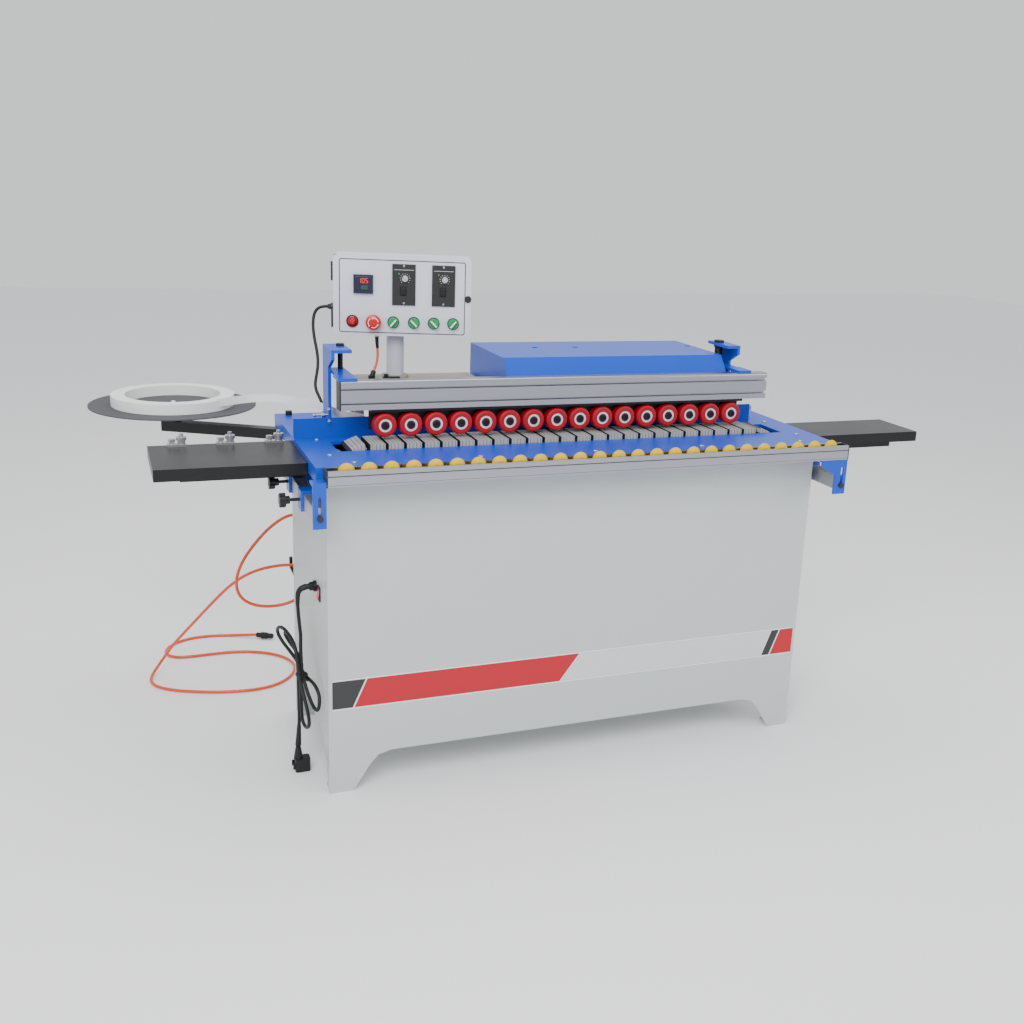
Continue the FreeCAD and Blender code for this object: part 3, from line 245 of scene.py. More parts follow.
def paintRegion(finish, mask, colour, roughness=None, metallic=None):
    # another colour, gloss and metal where mask is 1
    tree = finish.node_tree
    shade = tree.nodes["Principled BSDF"]
    before = shade.inputs["Base Color"].links[0].from_socket
    mix = tree.nodes.new("ShaderNodeMix")
    mix.data_type = "RGBA"
    tree.links.new(mask, mix.inputs["Factor"])
    tree.links.new(before, mix.inputs["A"])
    mix.inputs["B"].default_value = (*colour, 1)
    tree.links.new(mix.outputs["Result"], shade.inputs["Base Color"])
    for label, value in (("Roughness", roughness), ("Metallic", metallic)):
        if value is None:
            continue
        socket = shade.inputs[label]
        blend = tree.nodes.new("ShaderNodeMix")
        blend.data_type = "FLOAT"
        tree.links.new(mask, blend.inputs["Factor"])
        if socket.links:
            tree.links.new(socket.links[0].from_socket, blend.inputs["A"])
        else:
            blend.inputs["A"].default_value = socket.default_value
        blend.inputs["B"].default_value = value
        tree.links.new(blend.outputs["Result"], socket)


greyPaint = makeFinish("greyPaint", (0.50, 0.535, 0.53), 0.42, grain=1400, spread=0.05, bump=0.12, coat=0.1)
bluePaint = makeFinish("bluePaint", (0.0015, 0.062, 0.50), 0.34, grain=1200, spread=0.1, bump=0.1, coat=0.05)
blackBoard = makeFinish("blackBoard", (0.004, 0.004, 0.005), 0.34, grain=2600, spread=0.3, bump=0.3)
brushed = makeFinish("brushedAluminium", (0.40, 0.41, 0.46), 0.28, 1.0, 1500, 20, 0.12, 0.15,
                     stretch=(0.02, 1, 1))
tyreRed = makeFinish("tyreRed", (0.36, 0.0015, 0.012), 0.5, grain=700, spread=0.15, bump=0.15)
wheelYellow = makeFinish("wheelYellow", (0.66, 0.44, 0.0), 0.4, grain=500, spread=0.1, bump=0.05, shine=0.2)
brightSteel = makeFinish("brightSteel", (0.60, 0.60, 0.62), 0.3, 1.0, 900, 12, 0.2, 0.1)
blackSteel = makeFinish("blackSteel", (0.016, 0.016, 0.019), 0.42, 0.3, 900, 12, 0.3, 0.15)
padGrey = makeFinish("padGrey", (0.36, 0.365, 0.36), 0.65, grain=700, cloud=30, spread=0.35, bump=0.25)
whitePaint = makeFinish("whitePaint", (0.66, 0.67, 0.76), 0.35, grain=1400, spread=0.04, bump=0.08, coat=0.15)
deckBeige = makeFinish("deckBeige", (0.36, 0.325, 0.27), 0.6, grain=900, spread=0.12, bump=0.12)
signalRed = makeFinish("signalRed", (0.55, 0.005, 0.010), 0.3, grain=400, spread=0.08, bump=0.04, coat=0.1)
leafGreen = makeFinish("leafGreen", (0.022, 0.29, 0.095), 0.32, grain=400, spread=0.08, bump=0.04, coat=0.2)
mouldedBlack = makeFinish("mouldedBlack", (0.008, 0.008, 0.009), 0.45, grain=1500, spread=0.2, bump=0.2)
reelSheet = makeFinish("reelSheet", (0.055, 0.058, 0.066), 0.55, grain=1200, spread=0.15, bump=0.12)
tapeWhite = makeFinish("tapeWhite", (0.86, 0.87, 0.85), 0.4, grain=600, spread=0.05, bump=0.05)
cableBlack = makeFinish("cableBlack", (0.008, 0.008, 0.009), 0.5, grain=1200, spread=0.2, bump=0.15)
hoseOrange = makeFinish("hoseOrange", (0.68, 0.068, 0.010), 0.3, grain=300, spread=0.12, bump=0.03, coat=0.4)
screenGlass = makeFinish("screenGlass", (0.008, 0.008, 0.03), 0.15,
                         grain=300, spread=0.1, bump=0.02, coat=0.6)
graphicRed = makeFinish("graphicRed", (0.46, 0.006, 0.020), 0.35, grain=1400, spread=0.05, bump=0.06)
graphicGrey = makeFinish("graphicGrey", (0.030, 0.032, 0.032), 0.4, grain=1400, spread=0.05, bump=0.06)
graphicPale = makeFinish("graphicPale", (0.60, 0.615, 0.63), 0.4, grain=1400, spread=0.04, bump=0.06)
graphicWhite = makeFinish("graphicWhite", (0.88, 0.89, 0.90), 0.4, grain=1400, spread=0.03, bump=0.05)
lampGlow = makeFinish("lampGlow", (0.9, 0.02, 0.02), 0.3, grain=300, spread=0.1, bump=0.02)
lampGlow.node_tree.nodes["Principled BSDF"].inputs["Emission Color"].default_value = (1, 0.02, 0.01, 1)
lampGlow.node_tree.nodes["Principled BSDF"].inputs["Emission Strength"].default_value = 1.2
print("finishes are made")


def copyFinish(finish, name):
    copy = finish.copy()
    copy.name = name
    return copy


def rollerFinish():
    # red tyre, pale ring and dark bearing round each roller's own bolt
    finish = copyFinish(tyreRed, "rollerTyre")
    tree = finish.node_tree
    first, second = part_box("presser_roller_01"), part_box("presser_roller_02")
    pitch = second[0][0] - first[0][0]
    middleX = (first[0][0] + first[1][0]) / 2
    middleZ = (first[0][2] + first[1][2]) / 2
    shifted = mathNode(tree, "ADD", coordinate(tree, "X"), pitch * 40.5 - middleX)
    across = mathNode(tree, "SUBTRACT", mathNode(tree, "MODULO", shifted, pitch), pitch / 2)
    upward = mathNode(tree, "SUBTRACT", coordinate(tree, "Z"), middleZ)
    square = mathNode(tree, "ADD", mathNode(tree, "MULTIPLY", across, across),
                      mathNode(tree, "MULTIPLY", upward, upward))
    radius = mathNode(tree, "SQRT", square)
    paintRegion(finish, band(tree, radius, 0.0, 0.0160), (0.72, 0.70, 0.70), 0.35, 0.0)
    paintRegion(finish, band(tree, radius, 0.0, 0.0112), (0.05, 0.05, 0.055), 0.4, 0.0)
    return finish


def splitFinish(base, name, regions):
    # regions: (axis, low, high, colour, roughness, metallic)
    finish = copyFinish(base, name)
    for axis, low, high, colour, roughness, metallic in regions:
        mask = band(finish.node_tree, coordinate(finish.node_tree, axis), low, high)
        paintRegion(finish, mask, colour, roughness, metallic)
    return finish


fastenerFinish = splitFinish(blackSteel, "screwsAndStud", [
    ("X", at(0.010, 0, 0)[0], 5, (0.42, 0.47, 0.60), 0.3, 1.0)])
extensionFinish = splitFinish(blackBoard, "boardsAndGuides", [
    ("Z", 0.8383, 2.0, (0.55, 0.55, 0.56), 0.32, 1.0)])
capsFinish = splitFinish(brushed, "railAndCaps", [
    ("X", -5, at(-0.0144, 0, 0)[0], (0.02, 0.02, 0.02), 0.5, 0.0),
    ("X", at(1.3639, 0, 0)[0], 5, (0.02, 0.02, 0.02), 0.5, 0.0),
    ("Z", 0.8378, 0.8402, (0.06, 0.06, 0.07), 0.5, 0.3),
    ("Z", 0.8178, 0.8190, (0.16, 0.16, 0.18), 0.4, 0.6)])
beamFinish = splitFinish(brushed, "beamAndCap", [
    ("X", -5, at(0.0619, 0, 0)[0], (0.03, 0.03, 0.035), 0.45, 0.0),
    ("X", at(1.2364, 0, 0)[0], 5, (0.05, 0.05, 0.055), 0.5, 0.0)])
frameFinish = splitFinish(bluePaint, "bracketsAndTubes", [
    ("Y", at(0, -0.0919, 0)[1], 5, (0.42, 0.43, 0.44), 0.4, 0.9),
    ("Z", 0.7685, 2.0, (0.0015, 0.062, 0.50), 0.3, 0.0),
    ("Y", -5, at(0, -0.0971, 0)[1], (0.03, 0.03, 0.03), 0.4, 0.3)])
boxFinish = splitFinish(whitePaint, "boxAndGland", [
    ("X", -5, at(0.1162, 0, 0)[0], (0.02, 0.02, 0.02), 0.45, 0.0),
    ("Z", 0, 1.0808, (0.52, 0.53, 0.60), 0.4, 0.0)])
deckFinish = splitFinish(deckBeige, "deckAndBeam", [
    ("X", at(0.5, 0, 0)[0], 5, (0.0015, 0.062, 0.50), 0.35, 0.0)])


def padFinish():
    # ribs across each pad with painted shade in their grooves, and the dark chain between one pad and the next
    # with painted shade in the gap
    finish = copyFinish(padGrey, "ribbedPad")
    tree = finish.node_tree
    along = mathNode(tree, "ADD", coordinate(tree, "X"), padRow["pitch"] * 40 - padRow["gap"])
    step = mathNode(tree, "MODULO", along, padRow["pitch"])
    rib = mathNode(tree, "MODULO", step, padRow["pitch"] / 5)
    # painted shade: a dark line in each rib groove
    paintRegion(finish, band(tree, rib, 0.0, padRow["grooveShade"]), (0.12, 0.12, 0.125), 0.8)
    # painted shade: both ends of each pad painted near black for the shaded gap and the dark chain in it
    paintRegion(finish, band(tree, step, 0.0, padRow["shade"]), (0.012, 0.012, 0.013), 0.6)
    paintRegion(finish, band(tree, step, padRow["pitch"] - padRow["shade"], 1.0), (0.012, 0.012, 0.013), 0.6)
    return finish


# widths of the painted shade at the pad ends and in the rib grooves
padRow = {"pitch": 0.045, "gap": sum(corner[0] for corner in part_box("idler_sprocket")) / 2,
          "shade": 0.0042, "grooveShade": 0.0016}
unitFinish = splitFinish(blackSteel, "driveUnits", [
    ("Z", 0.8503, 2.0, (0.20, 0.21, 0.22), 0.45, 0.5)])
roller = rollerFinish()

nodeFinish = {
    "cabinet_shell": greyPaint, "rear_panel": greyPaint, "table_plate": bluePaint,
    "table_fasteners": fastenerFinish, "extension_tables": extensionFinish, "fence": bluePaint,
    "conveyor_pads": padFinish(), "drive_sprocket": blackSteel, "idler_sprocket": blackSteel,
    "inner_units": unitFinish, "pressure_beam": beamFinish, "roller_bar": blackSteel,
    "beam_posts": bluePaint, "left_lead_screw": blackSteel, "right_lead_screw": blackSteel,
    "beam_brackets": bluePaint, "rear_deck": deckFinish, "hood": bluePaint, "control_box": boxFinish,
    "box_door": whitePaint, "stop_button": signalRed, "power_switch": signalRed,
    "front_rail": capsFinish, "bead_wheels": wheelYellow, "support_frame": frameFinish,
    "guide_saddles": bluePaint, "clamp_knob_front": mouldedBlack, "clamp_knob_rear": mouldedBlack,
    "reel_arm": blackBoard, "cord_fittings": mouldedBlack,
    "hose_coupler": mouldedBlack, "speed_dial_1": brightSteel, "speed_dial_2": brightSteel,
    "mains_plug": mouldedBlack,
}
for number in range(1, 17):
    nodeFinish["presser_roller_%02d" % number] = roller
for number in range(1, 5):
    nodeFinish["selector_%d" % number] = leafGreen
for node, finish in nodeFinish.items():
    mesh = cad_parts[node].data
    mesh.materials.clear()
    mesh.materials.append(finish)
reelFinish = splitFinish(reelSheet, "reelAndRoll", [("Z", 0.8581, 2.0, (0.86, 0.87, 0.85), 0.4, 0.0)])
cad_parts["tape_reel"].data.materials.clear()
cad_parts["tape_reel"].data.materials.append(reelFinish)
print("finishes are on the frame")


def ropeCurve(name, points, diameter, finish):
    data = bpy.data.curves.new(name, "CURVE")
    data.dimensions = "3D"
    data.bevel_depth = diameter / 2
    data.bevel_resolution = 5
    data.resolution_u = 10
    data.use_fill_caps = True
    line = data.splines.new("NURBS")
    line.points.add(len(points) - 1)
    for spot, point in zip(line.points, points):
        spot.co = (*at(*point), 1)
    line.order_u = 3
    line.use_endpoint_u = True
    data.materials.append(finish)
    thing = bpy.data.objects.new(name, data)
    bpy.context.collection.objects.link(thing)
    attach(thing, "machine")
    return thing


hankPlane = {"tie": (-0.041, 0.138), "along": (-0.25, 0.968), "out": (0.968, 0.25)}


def hankPoint(along, z, out):
    # a place in the upright plane that the hank hangs in, from its tie, in millimetres
    x, y = hankPlane["tie"]
    ax, ay = hankPlane["along"]
    ox, oy = hankPlane["out"]
    return (x + (ax * along + ox * out) / 1000, y + (ay * along + oy * out) / 1000, z / 1000)


mainsDown = [
    (-0.024, 0.150, 0.497), (-0.036, 0.150, 0.4945), (-0.0435, 0.151, 0.485), (-0.046, 0.151, 0.471),
    (-0.046, 0.150, 0.452), (-0.045, 0.148, 0.426), (-0.043, 0.145, 0.397), (-0.041, 0.142, 0.371),
]
hankTurns = [
    (4, 345, 0), (2, 308, 0), (-3, 268, 0), (-34, 232, 0), (-64, 207, 0), (-88, 202, 1), (-93, 222, 5),
    (-82, 246, 9), (-56, 260, 9.5), (-28, 262, 9.5), (-6, 262, 9.5), (18, 269, 9.5), (46, 284, 9.5),
    (90, 295, 9.5), (128, 306, 7), (146, 326, 0), (132, 350, -7), (94, 366, -9.5), (50, 360, -9.5),
    (18, 340, -9.5), (0, 305, -9.5), (-8, 268, -9.5), (-26, 232, -9.5), (-52, 196, -9.5), (-58, 164, -7),
    (-42, 140, -2), (-16, 129, 0), (3, 143, 0), (6, 182, 0), (7, 222, 0), (7, 258, 0), (9, 278, 5),
    (22, 295, 9.5), (56, 311, 9.5), (96, 320, 9.5), (113, 334, 6), (100, 349, 0), (70, 350, 0),
    (40, 334, 0), (25, 304, 0),
]
mainsTail = [
    (-0.0462, 0.1583, 0.2616), (-0.0462, 0.158, 0.236), (-0.046, 0.157, 0.208), (-0.0462, 0.1562, 0.180),
    (-0.046, 0.1545, 0.152), (-0.0475, 0.151, 0.124), (-0.050, 0.1465, 0.097), (-0.052, 0.1425, 0.072),
]
hoseRoute = [
    (0.045, 0.512, 0.562), (0.045, 0.536, 0.562), (0.036, 0.558, 0.561), (0.019, 0.575, 0.558),
    (-0.003, 0.585, 0.551), (-0.028, 0.585, 0.538), (-0.060, 0.579, 0.515), (-0.096, 0.573, 0.478),
    (-0.128, 0.570, 0.434), (-0.146, 0.570, 0.388), (-0.146, 0.572, 0.348), (-0.130, 0.573, 0.318),
    (-0.100, 0.573, 0.299), (-0.062, 0.572, 0.291), (-0.022, 0.570, 0.293), (0.010, 0.569, 0.302),
    (0.038, 0.572, 0.318), (0.057, 0.578, 0.344), (0.058, 0.586, 0.374), (0.038, 0.596, 0.395),
    (0.006, 0.604, 0.401), (-0.036, 0.615, 0.396), (-0.080, 0.634, 0.382), (-0.122, 0.658, 0.356),
    (-0.162, 0.688, 0.314), (-0.200, 0.720, 0.262), (-0.238, 0.756, 0.206), (-0.276, 0.796, 0.148),
    (-0.308, 0.826, 0.100), (-0.332, 0.844, 0.058), (-0.354, 0.846, 0.026), (-0.374, 0.822, 0.008),
    (-0.378, 0.786, 0.005), (-0.366, 0.752, 0.005), (-0.340, 0.724, 0.005), (-0.304, 0.700, 0.005),
    (-0.258, 0.680, 0.005), (-0.208, 0.662, 0.005), (-0.150, 0.650, 0.005), (-0.088, 0.646, 0.005),
    (-0.026, 0.664, 0.005), (0.022, 0.712, 0.005), (0.046, 0.776, 0.005), (0.038, 0.836, 0.005),
    (0.004, 0.888, 0.005), (-0.050, 0.926, 0.005), (-0.112, 0.946, 0.005), (-0.180, 0.948, 0.005),
    (-0.244, 0.944, 0.005), (-0.292, 0.948, 0.005), (-0.322, 0.976, 0.005), (-0.322, 1.020, 0.005),
    (-0.292, 1.066, 0.005), (-0.240, 1.096, 0.005), (-0.176, 1.100, 0.005), (-0.112, 1.086, 0.005),
    (-0.058, 1.064, 0.009), (-0.036, 1.052, 0.012),
]
signalRoute = [
    (0.0993, 0.4921, 1.147), (0.086, 0.4956, 1.1465), (0.0735, 0.495, 1.1405), (0.065, 0.490, 1.129),
    (0.0605, 0.483, 1.113), (0.0585, 0.474, 1.093), (0.0595, 0.465, 1.070), (0.0625, 0.455, 1.046),
    (0.0648, 0.445, 1.021), (0.063, 0.436, 0.997), (0.0575, 0.427, 0.976), (0.052, 0.418, 0.957),
    (0.0525, 0.409, 0.940), (0.059, 0.400, 0.924), (0.065, 0.392, 0.907), (0.067, 0.385, 0.889),
    (0.066, 0.381, 0.872),
]
dropRoute = [
    (0.216, 0.425, 1.0756), (0.216, 0.425, 1.062), (0.2175, 0.424, 1.046), (0.218, 0.422, 1.029),
    (0.2155, 0.419, 1.013), (0.2112, 0.416, 1.000), (0.2056, 0.4128, 0.9876),
]


def lineLength(thing):
    # length of the curve's own smooth line
    bare = thing.data.copy()
    bare.bevel_depth = 0
    probe = bpy.data.objects.new("probe", bare)
    mesh = bpy.data.meshes.new_from_object(probe)
    total = sum((mesh.vertices[e.vertices[0]].co - mesh.vertices[e.vertices[1]].co).length
                for e in mesh.edges)
    bpy.data.objects.remove(probe)
    bpy.data.meshes.remove(mesh)
    return total


def layCords():
    mains = ropeCurve("mainsLead", mainsDown + [hankPoint(*turn) for turn in hankTurns] + mainsTail, 0.009,
                      cableBlack)
    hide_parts("mains_cord", "mains_hank")
    hose = ropeCurve("airHose", hoseRoute, 0.009, hoseOrange)
    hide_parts("air_hose")
    signal = ropeCurve("signalLead", signalRoute, 0.008, cableBlack)
    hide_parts("signal_cord")
    drop = ropeCurve("dropHose", dropRoute, 0.007, hoseOrange)
    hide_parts("drop_hose")
    for thing in (mains, hose, signal, drop):
        print(thing.name, "is", round(lineLength(thing), 3), "m long")
    lineLength(mains)
    lineLength(hose)
    lineLength(signal)
    lineLength(drop)


layCords()
print("cords are laid")


def editAll():
    bpy.ops.object.mode_set(mode="EDIT")
    bpy.ops.mesh.select_mode(type="VERT")
    bpy.ops.mesh.select_all(action="SELECT")


def selectFaces(thing, test):
    # picks the faces whose middle passes the test, in edit mode
    bpy.ops.object.mode_set(mode="EDIT")
    bpy.ops.mesh.select_mode(type="FACE")
    bpy.ops.mesh.select_all(action="DESELECT")
    bpy.ops.object.mode_set(mode="OBJECT")
    for face in thing.data.polygons:
        face.select = test(face)
    bpy.ops.object.mode_set(mode="EDIT")


def dress(thing, name, finish, body, place=None, turn=None):
    # into place with its mesh, named, finished and riding on its body
    bpy.ops.object.mode_set(mode="OBJECT")
    if place is not None:
        thing.matrix_world = Matrix.Translation(place) @ (turn or Matrix()) @ thing.matrix_world
    pick(thing)
    bpy.ops.object.transform_apply(location=True, rotation=True, scale=True)
    thing.name = name
    thing.data.materials.clear()
    thing.data.materials.append(finish)
    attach(thing, body)
    return thing


def softBlock(size, middle, edge, segments=2):
    deselectAll()
    bpy.ops.mesh.primitive_cube_add(size=1, location=middle)
    thing = bpy.context.active_object
    thing.scale = size
    bpy.ops.object.transform_apply(location=True, rotation=True, scale=True)
    editAll()
    bpy.ops.mesh.bevel(offset=edge, segments=segments, affect="EDGES")
    bpy.ops.object.mode_set(mode="OBJECT")
    return thing


def joinPieces(pieces):
    deselectAll()
    for piece in pieces:
        piece.select_set(True)
    bpy.context.view_layer.objects.active = pieces[0]
    if len(pieces) > 1:
        bpy.ops.object.join()
    return bpy.context.active_object


def lathe(outline, place, steps=40):
    # (radius, out) points turned about the -y direction, from a one-vertex start extruded along the outline
    deselectAll()
    bpy.ops.mesh.primitive_plane_add(size=0.001)
    thing = bpy.context.active_object
    editAll()
    bpy.ops.mesh.merge(type="CENTER")
    bpy.ops.object.mode_set(mode="OBJECT")
    thing.data.vertices[0].co = (outline[0][0], -outline[0][1], 0)
    editAll()
    for before, after in zip(outline, outline[1:]):
        bpy.ops.mesh.extrude_region_move(TRANSFORM_OT_translate={
            "value": (after[0] - before[0], before[1] - after[1], 0)})
    bpy.ops.mesh.select_all(action="SELECT")
    bpy.ops.mesh.spin(steps=steps, angle=2 * math.pi, center=(0, 0, 0), axis=(0, 1, 0))
    bpy.ops.mesh.select_all(action="SELECT")
    bpy.ops.mesh.remove_doubles(threshold=0.00001)
    bpy.ops.mesh.normals_make_consistent(inside=False)
    bpy.ops.object.mode_set(mode="OBJECT")
    thing.location = place
    bpy.ops.object.transform_apply(location=True, rotation=True, scale=True)
    bpy.ops.object.shade_smooth_by_angle(angle=math.radians(35))
    return thing


stripe = {
    "low": 0.228, "high": 0.300, "proud": 0.0005,
    # left end low/high, right end low/high, finish, slot
    "fields": [
        (0.009, 0.009, 0.0585, 0.0905, graphicGrey, "dark_steel"),
        (0.0635, 0.0955, 0.6045, 0.6575, graphicRed, "red_plastic"),
        (0.6095, 0.6625, 1.2150, 1.2420, graphicPale, "white_paint"),
        (1.2200, 1.2470, 1.2430, 1.2700, graphicGrey, "dark_steel"),
        (1.2480, 1.2750, 1.3170, 1.3170, graphicRed, "red_plastic"),
    ],
    "line": 0.0022,
}


def slantField(name, ends, low, high, finish):
    leftLow, leftHigh, rightLow, rightHigh = ends
    deselectAll()
    bpy.ops.mesh.primitive_plane_add(size=1, rotation=(math.radians(90), 0, 0))
    thing = bpy.context.active_object
    bpy.ops.object.transform_apply(location=True, rotation=True, scale=True)
    corners = {(-1, -1): (leftLow, low), (-1, 1): (leftHigh, high),
               (1, -1): (rightLow, low), (1, 1): (rightHigh, high)}
    for vertex in thing.data.vertices:
        side = (1 if vertex.co.x > 0 else -1, 1 if vertex.co.z > 0 else -1)
        x, z = corners[side]
        vertex.co = at(x, -0.0001, z)
    editAll()
    bpy.ops.mesh.extrude_region_move(TRANSFORM_OT_translate={"value": (0, -stripe["proud"], 0)})
    bpy.ops.mesh.select_all(action="SELECT")
    bpy.ops.mesh.bevel(offset=0.00015, segments=1, affect="EDGES")
    bpy.ops.mesh.select_all(action="SELECT")
    bpy.ops.mesh.normals_make_consistent(inside=False)
    return dress(thing, name, finish, "machine")


def layStripes():
    low, high = stripe["low"], stripe["high"]
    for number, (a, b, c, d, finish, slot) in enumerate(stripe["fields"]):
        slantField("stripeField%d" % (number + 1), (a, b, c, d), low, high, finish)
    for number, (a, b, c, d, finish, slot) in enumerate(stripe["fields"][1:]):
        gap = 0.0012
        slantField("stripeSlant%d" % (number + 1), (a - 0.0038, b - 0.0038, a - gap, b - gap),
                   low, high, graphicWhite)
    for name, z in (("stripeLineLow", low - 0.0035), ("stripeLineHigh", high + 0.0012)):
        slantField(name, (0.009, 0.009, 1.317, 1.317), z, z + stripe["line"], graphicWhite)


layStripes()
print("front graphics are laid")


panel = {
    "middle": (0.274, 0.384, 1.183), "turn": -14.7, "border": (0.162, 0.094), "borderLine": 0.0021,
    "meter": (-0.1005, 0.031), "modules": (0.003, 0.105), "moduleZ": 0.0315, "dialZ": 0.048,
    "row": -0.065, "lamp": -0.1285, "stop": -0.0745,
    "selectors": [(-0.0235, 40), (0.0295, -45), (0.081, -45), (0.1315, 40)],
}
panelTurn = Matrix.Rotation(math.radians(panel["turn"]), 4, "Z")
panelPlace = at(*panel["middle"])


def onPanel(thing, name, finish, body):
    return dress(thing, name, finish, body, panelPlace, panelTurn)


def panelAxes(tree):
    # distances across, out of and up the door's face, inside a material
    away = tree.nodes.new("ShaderNodeVectorMath")
    away.operation = "SUBTRACT"
    tree.links.new(tree.nodes["where"].outputs["Object"], away.inputs[0])
    away.inputs[1].default_value = panelPlace
    results = []
    for direction in (Vector((1, 0, 0)), Vector((0, -1, 0)), Vector((0, 0, 1))):
        dot = tree.nodes.new("ShaderNodeVectorMath")
        dot.operation = "DOT_PRODUCT"
        tree.links.new(away.outputs["Vector"], dot.inputs[0])
        dot.inputs[1].default_value = panelTurn.to_3x3() @ direction
        results.append(dot.outputs["Value"])
    return results


def doorFinish():
    # white sheet, black modules and meter, red lamp, black lock, and painted shade over the left side face and its
    # hinge slots
    finish = copyFinish(whitePaint, "doorAndModules")
    tree = finish.node_tree
    across, out, up = panelAxes(tree)
    proud = band(tree, out, 0.0002, 0.1)

    def field(low, high, bottom, top):
        square = mathNode(tree, "MULTIPLY", band(tree, across, low, high), band(tree, up, bottom, top))
        return mathNode(tree, "MULTIPLY", square, proud)

    black, navy, red = (0.018, 0.018, 0.019), (0.012, 0.014, 0.05), (0.35, 0.008, 0.012)
    for middle in panel["modules"]:
        paintRegion(finish, field(middle - 0.031, middle + 0.031, -0.022, 0.086), black, 0.4)
    x, z = panel["meter"]
    paintRegion(finish, field(x - 0.026, x + 0.026, z - 0.025, z + 0.025), navy, 0.3)
    paintRegion(finish, field(panel["lamp"] - 0.015, panel["lamp"] + 0.015, -0.081, -0.049), red, 0.2)
    paintRegion(finish, field(0.155, 0.18, -0.015, 0.015), black, 0.4)
    # painted shade: the door's left side face, with its hinge slots, painted near black
    paintRegion(finish, band(tree, across, -0.3, -0.1774), (0.03, 0.03, 0.035), 0.5)
    return finish


def ringPlate(width, height, line, radius, out, thick):
    # a thin line round a rectangle with rounded corners
    deselectAll()
    bpy.ops.mesh.primitive_plane_add(size=1, rotation=(math.radians(90), 0, 0))
    thing = bpy.context.active_object
    thing.scale = (width, height, 1)
    bpy.ops.object.transform_apply(location=True, rotation=True, scale=True)
    editAll()
    bpy.ops.mesh.bevel(offset=radius, segments=6, affect="VERTICES")
    selectFaces(thing, lambda face: True)
    bpy.ops.mesh.inset(thickness=line, depth=0)
    bpy.ops.mesh.delete(type="FACE")
    bpy.ops.mesh.select_all(action="SELECT")
    bpy.ops.mesh.extrude_region_move(TRANSFORM_OT_translate={"value": (0, -thick, 0)})
    bpy.ops.mesh.select_all(action="SELECT")
    bpy.ops.mesh.normals_make_consistent(inside=False)
    bpy.ops.object.mode_set(mode="OBJECT")
    thing.location = (0, -out, 0)
    bpy.ops.object.transform_apply(location=True, rotation=True, scale=True)
    return thing


def digit(pattern, x, z, height, out):
    # bars of one display digit: top, upper left, upper right, middle, lower left, lower right, low
    w, h, t = height * 0.5, height, height * 0.11
    bars = [(0, h / 2, w, t), (-w / 2, h / 4, t, h / 2), (w / 2, h / 4, t, h / 2), (0, 0, w, t),
            (-w / 2, -h / 4, t, h / 2), (w / 2, -h / 4, t, h / 2), (0, -h / 2, w, t)]
    made = []
    for wanted, (bx, bz, bw, bh) in zip(pattern, bars):
        if wanted == "1":
            made.append(softBlock((bw * 0.9, 0.0005, bh * 0.9), (x + bx, -out, z + bz), 0.0001, 1))
    return made


def buildPanel():
    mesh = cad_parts["box_door"].data
    mesh.materials.clear()
    mesh.materials.append(doorFinish())
    width, height = panel["border"]
    border = ringPlate(2 * width, 2 * height, panel["borderLine"], 0.006, 0.0001, 0.0004)
    onPanel(border, "panelBorder", mouldedBlack, "box_door")
    mx, mz = panel["meter"]
    glass = softBlock((0.041, 0.0012, 0.036), (mx, -0.0092, mz + 0.001), 0.0004)
    onPanel(glass, "meterGlass", screenGlass, "box_door")
    red = digit("0010010", mx - 0.009, mz + 0.009, 0.011, 0.0101)
    red += digit("1110111", mx, mz + 0.009, 0.011, 0.0101)
    red += digit("1101011", mx + 0.009, mz + 0.009, 0.011, 0.0101)
    onPanel(joinPieces(red), "meterDigits", lampGlow, "box_door")
    green = digit("0010010", mx - 0.006, mz - 0.008, 0.008, 0.0101)
    green += digit("1110111", mx + 0.001, mz - 0.008, 0.008, 0.0101)
    green += digit("1110111", mx + 0.008, mz - 0.008, 0.008, 0.0101)
    onPanel(joinPieces(green), "meterTarget", leafGreen, "box_door")
    for number, middle in enumerate(panel["modules"]):
        buildModule(number + 1, middle)
    buildLamp()
    buildStopMarks()
    for number, (x, turn) in enumerate(panel["selectors"]):
        buildSelector(number + 1, x, turn)


